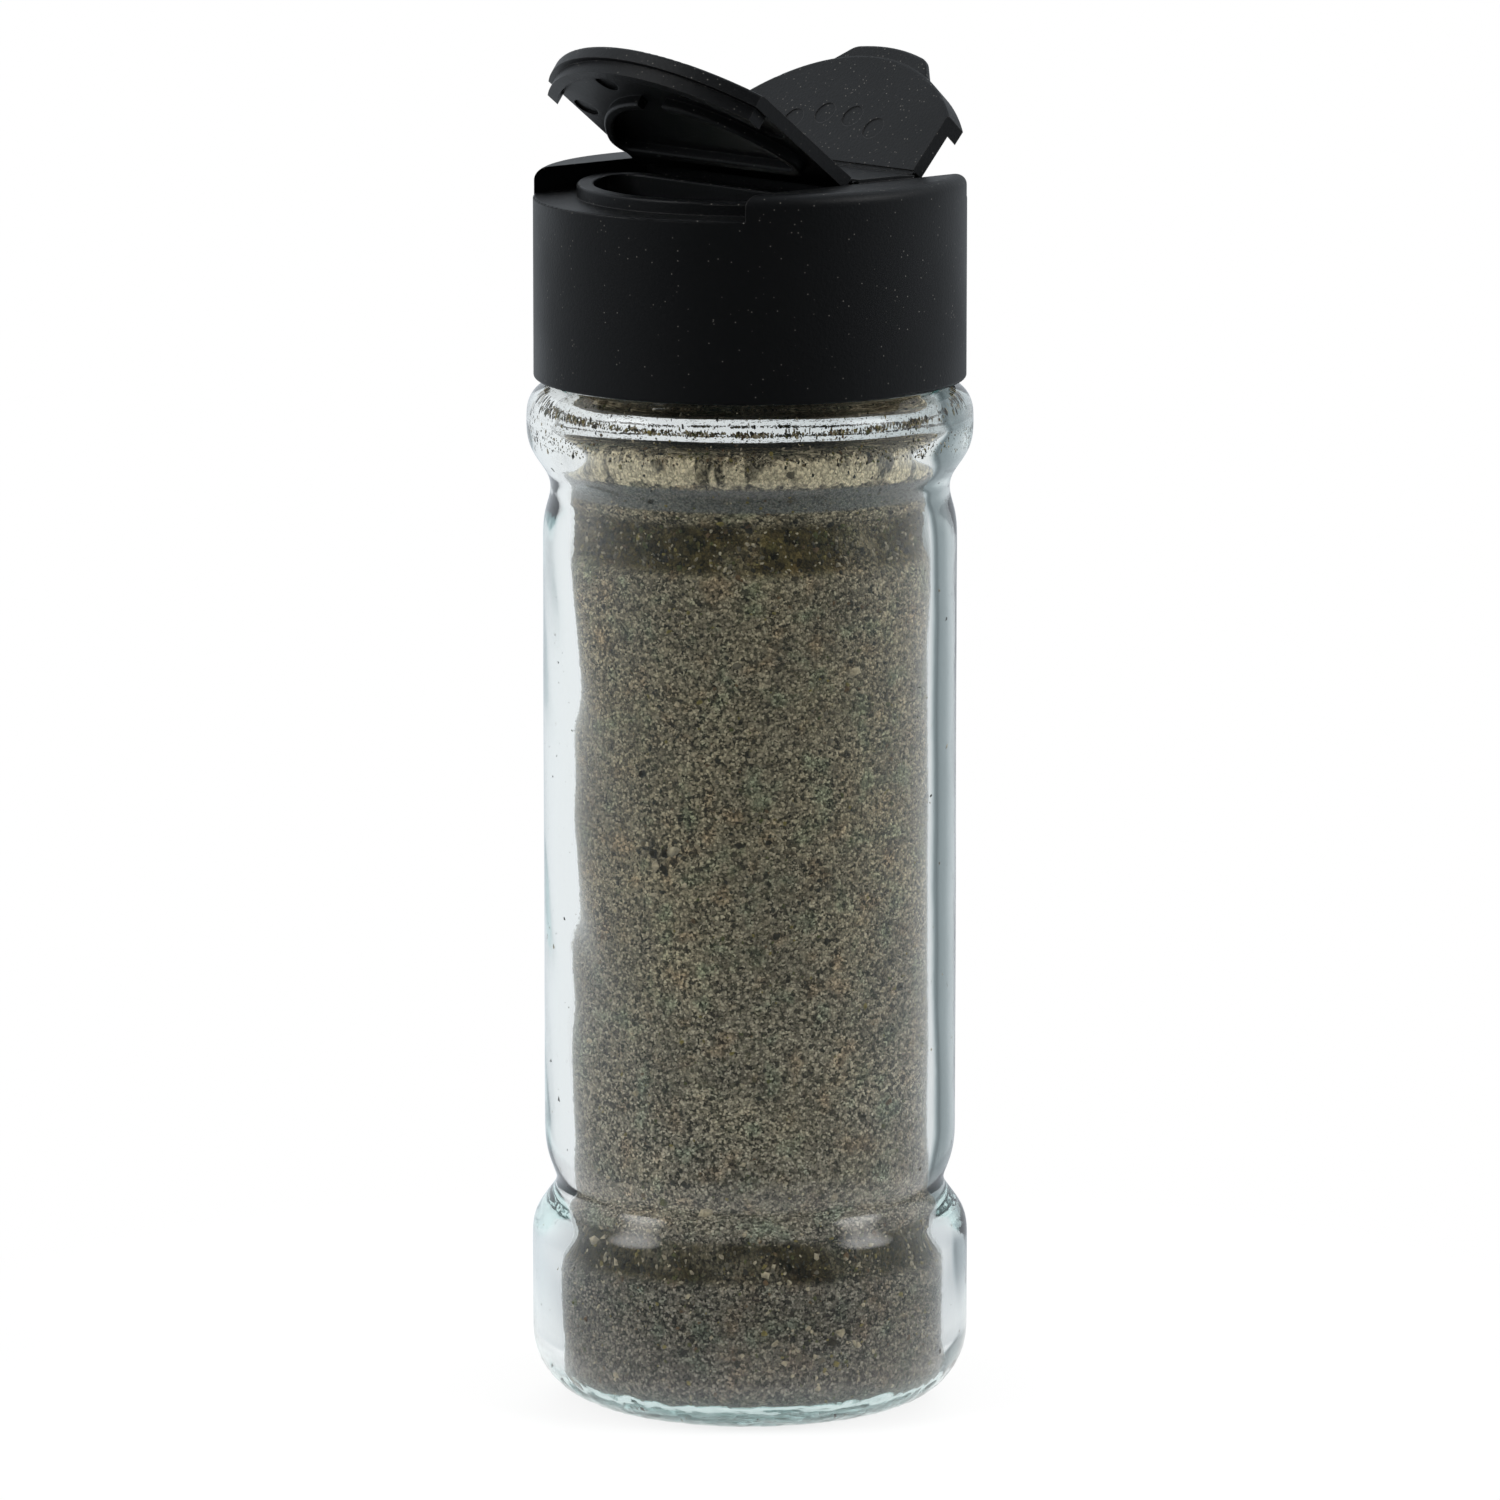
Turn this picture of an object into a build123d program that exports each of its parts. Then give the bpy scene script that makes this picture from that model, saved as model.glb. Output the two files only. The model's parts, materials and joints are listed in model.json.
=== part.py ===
from build123d import *
import os
from math import cos, radians, sin, tan

# Spice jar of clear glass, filled with ground pepper, under a round plastic cap with two hinged flaps:
# a large one over a D-shaped pour opening and a small one over a row of sifter holes.
# Units are millimetres, Z is up and the origin is the centre of the base, on the surface the jar stands on.
# The two hinges run along Y. The pour flap lies towards -X and the sprinkle flap towards +X.
# The flaps are modelled where the photograph shows them, open.

# Shared
overrun = 1.0
fillet_room_share = 0.98

# Main radius, from which the other radii step
cap_radius = 21.55

# Glass jar, outside
bulge_step = 0.72
foot_step = 0.37
body_step = 1.62
waist_depth = 1.2
groove_depth = 1.45
foot_height = 18.57
groove_rise = 3.55
body_foot_rise = 3.21
body_length = 64.46
waist_rise = 3.35
bulge_foot_rise = 3.85
bulge_height = 6.11
heel_fillet = 7.0
foot_fillet = 4.0
groove_fillet = 0.9
body_foot_fillet = 9.5
body_top_fillet = 8.5
waist_fillet = 3.2
bulge_foot_fillet = 4.7
bulge_top_fillet = 2.75
rest_ring_inset = 8.6
rest_ring_fillet = 1.5
push_up = 1.5

# Glass jar, neck
neck_length = 17.0
neck_wall = 2.2
neck_root_fillet = 0.7
rim_fillet = 0.7
snap_bead_rise = 10.25
snap_bead_depth = 0.75
snap_bead_width = 2.4
snap_bead_gap = 0.5
snap_bead_fillet = 0.5

# Glass jar, inside
body_wall = 3.3
foot_wall = 3.0
groove_wall = 2.4
waist_wall = 2.6
bulge_low_wall = 2.85
bulge_wall = 2.57
bulge_high_wall = 3.07
floor_thickness = 2.6
floor_crown = 1.5
cavity_low_rise = 1.15
cavity_middle_rise = 1.05
cavity_high_rise = 1.9
cavity_shoulder_drop = 0.8
cavity_floor_fillet = 2.2
cavity_foot_fillet = 4.0
cavity_groove_fillet = 4.0
cavity_body_fillet = 8.0
cavity_waist_fillet = 4.5
cavity_low_fillet = 2.0
cavity_middle_fillet = 1.0
cavity_high_fillet = 2.5
cavity_neck_fillet = 1.0

# Ground pepper
pepper_gap = 0.15
pepper_heap = 0.3
pepper_edge_fillet = 0.4

# Cap, shell
cap_rim_gap = 0.5
cap_wall = 1.6
cap_rim_fillet = 0.35
cap_lead_in = 0.5
deck_thickness = 1.5
deck_seat_gap = 0.1
seal_lip_wall = 0.75
seal_lip_depth = 2.2
seal_lip_gap = 0.2
snap_ring_gap = 0.1
snap_ring_width = 1.8
tall_wall_height = 2.5
tall_wall_width = 5.85
tall_wall_fillet = 1.2
shelf_fillet = 0.2
pocket_wall = 1.3
bar_proud = 0.4

# Cap, pour spout and sifter
spout_setback = 0.05
spout_chord = 3.8
spout_corner = 2.0
spout_wall = 1.7
spout_height = 1.3
spout_fillet = 0.25
sifter_hole_radius = 1.3
sifter_inset = 1.3
sifter_pitch_angle = 16.4
sifter_count = 4

# Hinges
pour_hinge_x = -0.25
hinge_spacing = 8.35
hinge_reach = 0.5
web_thickness = 0.25
web_gap = 0.3
web_cover = 0.025
bar_bevel_width = 1.9
bar_bevel_drop = 0.15

# Flaps
pour_open_angle = 37.5
sprinkle_open_angle = 47.5
flap_thickness = 1.4
flap_edge_fillet = 0.35
flap_lip_depth = 1.35
flap_lip_wall = 1.15
pour_side_gap = 0.3
sprinkle_side_gap = 0.75
pour_edge_step = 0.35
pour_lip_step = 0.25
pour_lip_inset = 0.45
tab_reach = 1.4
tab_thickness = 1.0
tab_drop = 0.15
tab_middle_angle = -3.5
tab_top_angle = 13.5
tab_root_angle = 20.0
tab_corner_fillet = 2.0
tab_edge_fillet = 0.35
seal_bead_gap = 0.3
seal_bead_wall = 1.1
seal_bead_depth = 1.1
seal_bead_fillet = 0.3
seal_notch_width = 3.6
ejector_mark_radius = 1.35
ejector_mark_depth = 0.25
ejector_near_angle = 18.5
ejector_far_angle = 51.0
sifter_plug_gap = 0.25
sifter_plug_entry = 0.5
sifter_plug_taper_angle = 6.0
sink_mark_radius = 1.25
sink_mark_depth = 0.08

# Radii that follow
cap_bore_radius = cap_radius - cap_wall
snap_bead_radius = cap_bore_radius - snap_bead_gap
neck_radius = snap_bead_radius - snap_bead_depth
neck_bore_radius = neck_radius - neck_wall
bulge_radius = cap_radius + bulge_step
foot_radius = bulge_radius - foot_step
body_radius = bulge_radius - body_step
waist_radius = body_radius - waist_depth
groove_radius = body_radius - groove_depth
rest_ring_radius = foot_radius - rest_ring_inset
seal_lip_radius = neck_bore_radius - seal_lip_gap
spout_radius = seal_lip_radius - seal_lip_wall - spout_setback
sifter_circle_radius = spout_radius - sifter_inset
bay_half_width = cap_radius - tall_wall_width

# Heights that follow
groove_height = foot_height + groove_rise
body_foot_height = groove_height + body_foot_rise
body_top_height = body_foot_height + body_length
waist_height = body_top_height + waist_rise
bulge_foot_height = waist_height + bulge_foot_rise
shoulder_height = bulge_foot_height + bulge_height
snap_bead_height = shoulder_height + snap_bead_rise
neck_height = shoulder_height + neck_length
fill_height = bulge_foot_height + cavity_low_rise
cavity_middle_height = fill_height + cavity_middle_rise
cavity_high_height = cavity_middle_height + cavity_high_rise
cavity_shoulder_height = shoulder_height - cavity_shoulder_drop
cap_bottom = shoulder_height + cap_rim_gap
deck_underside = neck_height + deck_seat_gap
shelf_top = deck_underside + deck_thickness
tall_wall_top = shelf_top + tall_wall_height
bar_top = tall_wall_top + bar_proud
hinge_drop = bar_bevel_drop + web_thickness / 2 + web_cover
hinge_height = bar_top - hinge_drop
sprinkle_hinge_x = pour_hinge_x + hinge_spacing


def fitted_fillets(corners, radii):
    """The fillets of an outline's inner corners, each cut down where the runs beside it are too short for it
    and for the fillet at their other end."""
    runs = [Vector(end) - Vector(start) for start, end in zip(corners, corners[1:])]
    reaches = [0]
    for before, after, radius in zip(runs, runs[1:], radii):
        reaches.append(radius * tan(radians(before.get_angle(after)) / 2))
    reaches.append(0)
    fitted = []
    for place, radius in enumerate(radii, start=1):
        before_share = fillet_room_share * runs[place - 1].length / (reaches[place] + reaches[place - 1])
        after_share = fillet_room_share * runs[place].length / (reaches[place] + reaches[place + 1])
        fitted.append(radius * min(1, before_share, after_share))
    return fitted


def filled_outline(clearance):
    """Corners of the inside of the glass, set in by a clearance, from the fill line down to the floor on the
    axis, and the fillet of each corner between the first and the last point."""
    corners = [
        (bulge_radius - bulge_low_wall - clearance, fill_height),
        (waist_radius - waist_wall - clearance, waist_height),
        (body_radius - body_wall - clearance, body_top_height),
        (body_radius - body_wall - clearance, body_foot_height),
        (groove_radius - groove_wall - clearance, groove_height),
        (foot_radius - foot_wall - clearance, foot_height),
        (foot_radius - foot_wall - clearance, floor_thickness + clearance),
        (0, floor_thickness + floor_crown + clearance),
    ]
    fillets = [
        cavity_waist_fillet,
        cavity_body_fillet,
        cavity_body_fillet,
        cavity_groove_fillet,
        cavity_foot_fillet,
        cavity_floor_fillet,
    ]
    return corners, fillets


# Glass jar: one revolved section, outside from the base up to the rim, then inside back down to the floor
outside_corners = [
    (0, push_up),
    (rest_ring_radius, 0),
    (foot_radius, 0),
    (foot_radius, foot_height),
    (groove_radius, groove_height),
    (body_radius, body_foot_height),
    (body_radius, body_top_height),
    (waist_radius, waist_height),
    (bulge_radius, bulge_foot_height),
    (bulge_radius, shoulder_height),
    (neck_radius, shoulder_height),
    (neck_radius, snap_bead_height - snap_bead_width / 2),
    (snap_bead_radius, snap_bead_height),
    (neck_radius, snap_bead_height + snap_bead_width / 2),
    (neck_radius, neck_height),
]
outside_fillets = [
    rest_ring_fillet,
    heel_fillet,
    foot_fillet,
    groove_fillet,
    body_foot_fillet,
    body_top_fillet,
    waist_fillet,
    bulge_foot_fillet,
    bulge_top_fillet,
    neck_root_fillet,
    snap_bead_fillet,
    snap_bead_fillet,
    snap_bead_fillet,
    rim_fillet,
]
filled_corners, filled_fillets = filled_outline(0)
upper_corners = [
    (neck_bore_radius, neck_height),
    (neck_bore_radius, cavity_shoulder_height),
    (bulge_radius - bulge_high_wall, cavity_high_height),
    (bulge_radius - bulge_wall, cavity_middle_height),
]
upper_fillets = [
    rim_fillet,
    cavity_neck_fillet,
    cavity_high_fillet,
    cavity_middle_fillet,
    cavity_low_fillet,
]
glass_corners = outside_corners + upper_corners + filled_corners
glass_fillets = outside_fillets + upper_fillets + filled_fillets

with BuildPart() as glass_jar:
    with BuildSketch(Plane.XZ):
        with BuildLine():
            FilletPolyline(glass_corners, radius=fitted_fillets(glass_corners, glass_fillets))
            Line(glass_corners[-1], glass_corners[0])
        make_face()
    revolve(axis=Axis.Z)

# Ground pepper: fills the inside of the glass up into the bulge and heaps a little in the middle
heap_corners, heap_fillets = filled_outline(pepper_gap)
pepper_corners = [(0, fill_height + pepper_heap)] + heap_corners
pepper_fillets = [pepper_edge_fillet] + heap_fillets

with BuildPart() as ground_pepper:
    with BuildSketch(Plane.XZ):
        with BuildLine():
            FilletPolyline(pepper_corners, radius=fitted_fillets(pepper_corners, pepper_fillets))
            Line(pepper_corners[-1], pepper_corners[0])
        make_face()
    revolve(axis=Axis.Z)


def d_outline(arc_radius, chord_x, corner_radius):
    """A disc about the jar's axis that keeps only what lies beyond a chord along Y, with both corners
    rounded."""
    with BuildSketch() as outline:
        Circle(arc_radius)
        with Locations((chord_x, 0)):
            Rectangle(2 * arc_radius, 2 * arc_radius, align=(Align.MIN, Align.CENTER), mode=Mode.INTERSECT)
        fillet(outline.vertices(), corner_radius)
    return outline.sketch


def sifter_circles(axis_x, radius):
    """One circle for each sifter hole, on an arc about the jar's axis, which crosses at axis_x."""
    with BuildSketch() as outline:
        with Locations((axis_x, 0)):
            with PolarLocations(
                sifter_circle_radius,
                sifter_count,
                start_angle=-sifter_pitch_angle * (sifter_count - 1) / 2,
                angular_range=sifter_pitch_angle * sifter_count,
            ):
                Circle(radius)
    return outline.sketch


# Cap: one moulding, turned shell first, then the bay for the flaps, the bar, the spout and the holes
spout_plane = Plane(origin=(0, 0, 0), x_dir=(-1, 0, 0), z_dir=(0, 0, 1))
spout_hole = d_outline(spout_radius, spout_chord, spout_corner)
spout_rim = d_outline(spout_radius + spout_wall, spout_chord - spout_wall, spout_corner + spout_wall)
bar_low_x = pour_hinge_x + hinge_reach
bar_high_x = sprinkle_hinge_x - hinge_reach
bar_span = bar_high_x - bar_low_x
bar_middle_x = (bar_high_x + bar_low_x) / 2
web_length = hinge_reach - web_gap / 2

# The two tall walls that stand on the shelf, each the segment of the cap beyond the bay for the flaps
with BuildPart() as tall_walls:
    with BuildSketch(Plane.XY.offset(shelf_top)):
        Circle(cap_radius)
        Rectangle(2 * cap_radius, 2 * bay_half_width, mode=Mode.SUBTRACT)
    extrude(amount=tall_wall_height)
    fillet(tall_walls.edges().filter_by(GeomType.CIRCLE).group_by(Axis.Z)[-1], tall_wall_fillet)

# Raised rim round the pour opening, rounded along both top edges
with BuildPart() as spout:
    with BuildSketch(spout_plane.offset(shelf_top - deck_thickness / 2)):
        add(spout_rim)
        add(spout_hole, mode=Mode.SUBTRACT)
    extrude(amount=deck_thickness / 2 + spout_height)
    fillet(spout.edges().group_by(Axis.Z)[-1], spout_fillet)

with BuildPart() as cap:
    with BuildSketch(Plane.XY.offset(cap_bottom)):
        Circle(cap_radius)
    extrude(amount=shelf_top - cap_bottom)
    add(tall_walls.part)
    shelf_edges = cap.edges().filter_by(GeomType.CIRCLE).filter_by_position(Axis.Z, shelf_top, shelf_top)
    fillet(shelf_edges.filter_by(lambda edge: abs(edge.center().X) > bay_half_width), shelf_fillet)
    # the bar that carries both hinges, with a bevel towards the sprinkle side
    with BuildSketch(Plane.XZ.offset(-bay_half_width)):
        with BuildLine():
            Polyline(
                (bar_low_x, shelf_top - deck_thickness / 2),
                (bar_low_x, bar_top),
                (bar_high_x - bar_bevel_width, bar_top),
                (bar_high_x, bar_top - bar_bevel_drop),
                (bar_high_x, shelf_top - deck_thickness / 2),
                close=True,
            )
        make_face()
    extrude(amount=2 * bay_half_width)
    # thin webs that reach from the bar to each hinge line
    with BuildSketch(Plane.XY.offset(hinge_height - web_thickness / 2)):
        with Locations((bar_middle_x, 0)):
            Rectangle(bar_span + 2 * web_length, 2 * (bay_half_width - pour_side_gap))
    extrude(amount=web_thickness)
    add(spout.part)
    # inside of the skirt up to the deck
    with BuildSketch(Plane.XY.offset(cap_bottom)):
        Circle(cap_bore_radius)
    extrude(amount=deck_underside - cap_bottom, mode=Mode.SUBTRACT)
    # ring that snaps under the bead of the neck
    snap_ring_middle = snap_bead_height - snap_bead_width / 2 - snap_ring_width / 2
    with BuildSketch(Plane.XZ):
        with BuildLine():
            Polyline(
                (cap_bore_radius + cap_wall / 2, snap_ring_middle - snap_ring_width / 2),
                (cap_bore_radius, snap_ring_middle - snap_ring_width / 2),
                (snap_bead_radius + snap_ring_gap, snap_ring_middle),
                (cap_bore_radius, snap_ring_middle + snap_ring_width / 2),
                (cap_bore_radius + cap_wall / 2, snap_ring_middle + snap_ring_width / 2),
                close=True,
            )
        make_face()
    revolve(axis=Axis.Z)
    # lip under the deck that plugs the bore of the neck
    with BuildSketch(Plane.XY.offset(deck_underside + deck_thickness / 2)):
        Circle(seal_lip_radius)
        Circle(seal_lip_radius - seal_lip_wall, mode=Mode.SUBTRACT)
    extrude(amount=-(seal_lip_depth + deck_thickness / 2))
    # hollows under the bar and the two tall walls, as an even-walled moulding has
    with BuildSketch(Plane.XY.offset(deck_underside)):
        with Locations((bar_middle_x, 0)):
            Rectangle(bar_span - 2 * pocket_wall, 2 * (spout_radius - pocket_wall))
    extrude(amount=bar_top - bar_bevel_drop - pocket_wall - deck_underside, mode=Mode.SUBTRACT)
    with BuildSketch(Plane.XY.offset(deck_underside)):
        Circle(cap_bore_radius)
        Rectangle(2 * cap_radius, 2 * (bay_half_width + pocket_wall), mode=Mode.SUBTRACT)
    extrude(amount=tall_wall_top - pocket_wall - deck_underside, mode=Mode.SUBTRACT)
    # the pour opening and the sifter holes
    with BuildSketch(spout_plane.offset(deck_underside - overrun)):
        add(spout_hole)
    extrude(amount=deck_thickness + 2 * overrun, mode=Mode.SUBTRACT)
    with BuildSketch(Plane.XY.offset(deck_underside - overrun)):
        add(sifter_circles(0, sifter_hole_radius))
    extrude(amount=deck_thickness + 2 * overrun, mode=Mode.SUBTRACT)
    # soft bottom rim and a lead-in for the neck
    rim_circles = cap.edges().filter_by(GeomType.CIRCLE).filter_by_position(Axis.Z, cap_bottom, cap_bottom)
    fillet(rim_circles.sort_by(SortBy.RADIUS)[-1], cap_rim_fillet)
    chamfer(rim_circles.sort_by(SortBy.RADIUS)[0], cap_lead_in)


def flap_plane(hinge_x, direction, angle):
    """Plane through a flap's hinge line. Local x runs from the hinge out to the tab and local z is the way
    the top of the flap faces. direction is -1 for the flap towards -X and 1 for the flap towards +X."""
    turn = radians(angle)
    return Plane(
        origin=(hinge_x, 0, hinge_height),
        x_dir=(direction * cos(turn), 0, sin(turn)),
        z_dir=(-direction * sin(turn), 0, cos(turn)),
    )


def bay_slice(inner_radius, outer_radius, half_width, axis_x):
    """The ring between two radii about the jar's axis, kept between two walls and beyond the hinge's reach,
    in a flap's own plane, where the jar's axis crosses at axis_x. A zero inner radius gives a disc."""
    with BuildSketch() as outline:
        with Locations((axis_x, 0)):
            Circle(outer_radius)
            if inner_radius > 0:
                Circle(inner_radius, mode=Mode.SUBTRACT)
        with Locations((hinge_reach, 0)):
            Rectangle(2 * outer_radius, 2 * half_width, align=(Align.MIN, Align.CENTER), mode=Mode.INTERSECT)
    return outline.sketch


def tab_outline(axis_x):
    """Thumb tab: a wider arc on the flap's edge, with straight shoulders down to the edge and its two corners
    rounded."""

    def rim_point(radius, angle):
        turn = radians(tab_middle_angle + angle)
        return (axis_x + radius * cos(turn), radius * sin(turn))

    inner = cap_radius - flap_lip_wall
    outer = cap_radius + tab_reach
    with BuildSketch() as outline:
        with BuildLine():
            crest_start = rim_point(outer, -tab_top_angle)
            crest_end = rim_point(outer, tab_top_angle)
            ThreePointArc(crest_start, rim_point(outer, 0), crest_end)
            Polyline(
                crest_end,
                rim_point(cap_radius, tab_root_angle),
                rim_point(inner, tab_root_angle),
                rim_point(inner, -tab_root_angle),
                rim_point(cap_radius, -tab_root_angle),
                crest_start,
            )
        make_face()
        fillet(outline.vertices().sort_by_distance(rim_point(outer, 0))[:2], tab_corner_fillet)
    return outline.sketch


# Pour flap: plate that stands proud of the cap, a bead that plugs the spout and a lip over the shelf
pour_plane = flap_plane(pour_hinge_x, -1, pour_open_angle)
pour_axis_x = pour_hinge_x
pour_half_width = bay_half_width - pour_side_gap
pour_lip_radius = cap_radius - pour_lip_step
pour_lip_half_width = pour_half_width - pour_lip_inset
bead_radius = spout_radius - seal_bead_gap
bead_chord = spout_chord + seal_bead_gap
bead_corner = spout_corner
ejector_circle_radius = (spout_radius + cap_radius - flap_lip_wall) / 2 - seal_bead_gap
plate_bottom = hinge_drop - flap_thickness

with BuildPart() as pour_flap:
    with BuildSketch(pour_plane.offset(hinge_drop)):
        add(bay_slice(0, cap_radius + pour_edge_step, pour_half_width, pour_axis_x))
    extrude(amount=-flap_thickness)
    top_edges = pour_flap.faces().sort_by(Axis(pour_plane.origin, pour_plane.z_dir))[-1].edges()
    fillet(top_edges.filter_by(GeomType.CIRCLE), flap_edge_fillet)
    with BuildSketch(pour_plane.offset(plate_bottom)):
        with Locations((pour_axis_x, 0)):
            add(d_outline(bead_radius, bead_chord, bead_corner))
            add(
                d_outline(
                    bead_radius - seal_bead_wall,
                    bead_chord + seal_bead_wall,
                    bead_corner - seal_bead_wall,
                ),
                mode=Mode.SUBTRACT,
            )
    extrude(amount=-seal_bead_depth)
    fillet(pour_flap.edges().group_by(Axis(pour_plane.origin, pour_plane.z_dir))[0], seal_bead_fillet)
    with BuildSketch(pour_plane.offset(plate_bottom)):
        with Locations((pour_axis_x + bead_radius - seal_bead_wall / 2, 0)):
            Rectangle(seal_bead_wall + overrun, seal_notch_width)
    extrude(amount=-(seal_bead_depth + overrun), mode=Mode.SUBTRACT)
    with BuildSketch(pour_plane.offset(plate_bottom)):
        add(bay_slice(pour_lip_radius - flap_lip_wall, pour_lip_radius, pour_lip_half_width, pour_axis_x))
    extrude(amount=-flap_lip_depth)
    with BuildSketch(pour_plane.offset(plate_bottom)):
        for angle in (-ejector_far_angle, -ejector_near_angle, ejector_near_angle, ejector_far_angle):
            mark_x = pour_axis_x + ejector_circle_radius * cos(radians(angle))
            mark_y = ejector_circle_radius * sin(radians(angle))
            with Locations((mark_x, mark_y)):
                Circle(ejector_mark_radius)
    extrude(amount=ejector_mark_depth, mode=Mode.SUBTRACT)
    with BuildSketch(pour_plane.offset(-web_thickness / 2)):
        with Locations((web_gap / 2, 0)):
            Rectangle(2 * hinge_reach, 2 * pour_half_width, align=(Align.MIN, Align.CENTER))
    extrude(amount=web_thickness)

# Sprinkle flap: plate with a tab, a lip that hangs over the shelf and a tapered plug for each sifter hole
sprinkle_plane = flap_plane(sprinkle_hinge_x, 1, sprinkle_open_angle)
sprinkle_axis_x = -sprinkle_hinge_x
sprinkle_half_width = bay_half_width - sprinkle_side_gap
plug_radius = sifter_hole_radius - sifter_plug_gap
plug_length = bar_top - flap_thickness - shelf_top + sifter_plug_entry

# Thumb tab of the sprinkle flap, rounded along its crest and shoulders
with BuildPart() as tab:
    with BuildSketch(sprinkle_plane.offset(hinge_drop - tab_drop)):
        add(tab_outline(sprinkle_axis_x))
    extrude(amount=-tab_thickness)
    fillet(tab.edges().filter_by(GeomType.CIRCLE).sort_by(SortBy.RADIUS)[-2:], tab_edge_fillet)

with BuildPart() as sprinkle_flap:
    with BuildSketch(sprinkle_plane.offset(hinge_drop)):
        add(bay_slice(0, cap_radius, sprinkle_half_width, sprinkle_axis_x))
    extrude(amount=-flap_thickness)
    top_edges = sprinkle_flap.faces().sort_by(Axis(sprinkle_plane.origin, sprinkle_plane.z_dir))[-1].edges()
    fillet(top_edges.filter_by(GeomType.CIRCLE), flap_edge_fillet)
    with BuildSketch(sprinkle_plane.offset(plate_bottom)):
        add(bay_slice(cap_radius - flap_lip_wall, cap_radius, sprinkle_half_width, sprinkle_axis_x))
    extrude(amount=-flap_lip_depth)
    with BuildSketch(sprinkle_plane.offset(plate_bottom)):
        add(sifter_circles(sprinkle_axis_x, plug_radius))
    extrude(amount=-plug_length, taper=sifter_plug_taper_angle)
    # shallow sinks in the top where the plugs stand below
    with BuildSketch(sprinkle_plane.offset(hinge_drop)):
        add(sifter_circles(sprinkle_axis_x, sink_mark_radius))
    extrude(amount=-sink_mark_depth, mode=Mode.SUBTRACT)
    add(tab.part)
    with BuildSketch(sprinkle_plane.offset(-web_thickness / 2)):
        with Locations((web_gap / 2, 0)):
            Rectangle(2 * hinge_reach, 2 * sprinkle_half_width, align=(Align.MIN, Align.CENTER))
    extrude(amount=web_thickness)

# One file for each piece
glass_jar.part.label = "glass_jar"
ground_pepper.part.label = "ground_pepper"
cap.part.label = "cap"
pour_flap.part.label = "pour_flap"
sprinkle_flap.part.label = "sprinkle_flap"
os.makedirs("parts", exist_ok=True)
for piece in (glass_jar, ground_pepper, cap, pour_flap, sprinkle_flap):
    export_step(piece.part, f"parts/{piece.part.label}.step")
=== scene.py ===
import json
import math

import bmesh
import bpy
import numpy as np
from bpy.props import FloatProperty, FloatVectorProperty, IntProperty, PointerProperty
from bpy.types import NodeSocket, Operator, Panel, PropertyGroup
from mathutils import Matrix, Vector, noise


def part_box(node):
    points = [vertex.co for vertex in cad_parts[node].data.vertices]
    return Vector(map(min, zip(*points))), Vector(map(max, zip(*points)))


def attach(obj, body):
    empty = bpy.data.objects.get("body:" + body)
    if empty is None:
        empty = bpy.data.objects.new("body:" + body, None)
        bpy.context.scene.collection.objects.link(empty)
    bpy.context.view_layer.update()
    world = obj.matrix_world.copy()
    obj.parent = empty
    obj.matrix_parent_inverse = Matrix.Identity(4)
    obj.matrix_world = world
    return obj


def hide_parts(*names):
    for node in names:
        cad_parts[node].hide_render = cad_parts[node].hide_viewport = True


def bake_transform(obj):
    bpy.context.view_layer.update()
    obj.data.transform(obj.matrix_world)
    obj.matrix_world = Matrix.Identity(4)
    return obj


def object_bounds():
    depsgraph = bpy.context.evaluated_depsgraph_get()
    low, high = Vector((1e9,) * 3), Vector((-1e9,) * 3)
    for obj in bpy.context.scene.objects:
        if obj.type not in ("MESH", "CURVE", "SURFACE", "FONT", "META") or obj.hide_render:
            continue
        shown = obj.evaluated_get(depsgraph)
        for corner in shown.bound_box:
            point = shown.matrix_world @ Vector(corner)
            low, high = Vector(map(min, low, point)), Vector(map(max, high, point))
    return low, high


bl_info = {
    "name": "Spice Jar",
    "version": (1, 0, 0),
    "blender": (4, 5, 0),
    "location": "3D Viewport > Sidebar > Spice Jar",
    "description": "Dresses a glass spice jar of ground pepper with a two-flap black cap",
    "category": "Object",
}

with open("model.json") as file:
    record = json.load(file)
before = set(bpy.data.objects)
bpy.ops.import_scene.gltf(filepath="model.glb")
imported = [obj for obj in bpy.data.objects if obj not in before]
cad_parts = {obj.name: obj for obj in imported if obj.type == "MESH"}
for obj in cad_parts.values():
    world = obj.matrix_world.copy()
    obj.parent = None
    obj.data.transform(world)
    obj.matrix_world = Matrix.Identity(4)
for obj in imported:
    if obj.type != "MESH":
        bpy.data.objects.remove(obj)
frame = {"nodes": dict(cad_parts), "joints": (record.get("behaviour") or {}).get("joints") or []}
cad_low, cad_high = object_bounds()

MILLIMETRE = 0.001
SAME_PLACE = 1e-7
FULL_TURN = 2.0 * math.pi
WHITE = (1.0, 1.0, 1.0, 1.0)


def mm(*lengths):
    """Lengths in millimetres as metres."""
    return tuple(length * MILLIMETRE for length in lengths)


# The seed of each thing that is drawn at random
SEEDS = {
    "inside_slow": 11,
    "inside_quick": 12,
    "outside": 21,
    "pepper": 31,
    "hollows": 32,
    "dunes": 33,
    "pepper_flakes": 34,
    "stuck_grains": 35,
    "wall_grains": 36,
}

# The glass. Angles run about +Z from +X. A band is a lowest and a highest height, and how far it eases out.
WAVY_SIDE = math.radians(150.0)
THIN_SIDE = math.radians(-42.0)
STRAIGHT_BODY = mm(6.0, 88.0, 8.0)
# The neck is even from this share of the jar's height upwards
NECK_SHARE = 0.867
NECK_EASE = 2.0 * MILLIMETRE
# Within this radius all unevenness dies away towards the axis
POLE_RADIUS = 6.0 * MILLIMETRE
RIPPLED_BASE = mm(-math.inf, 3.0, 2.0)
# Per metre, and then the fractal's dimension, the step between its octaves and how many it has
RIPPLE_FREQUENCY = 420.0
RIPPLE_FRACTAL = (0.7, 2.1, 3)
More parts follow.
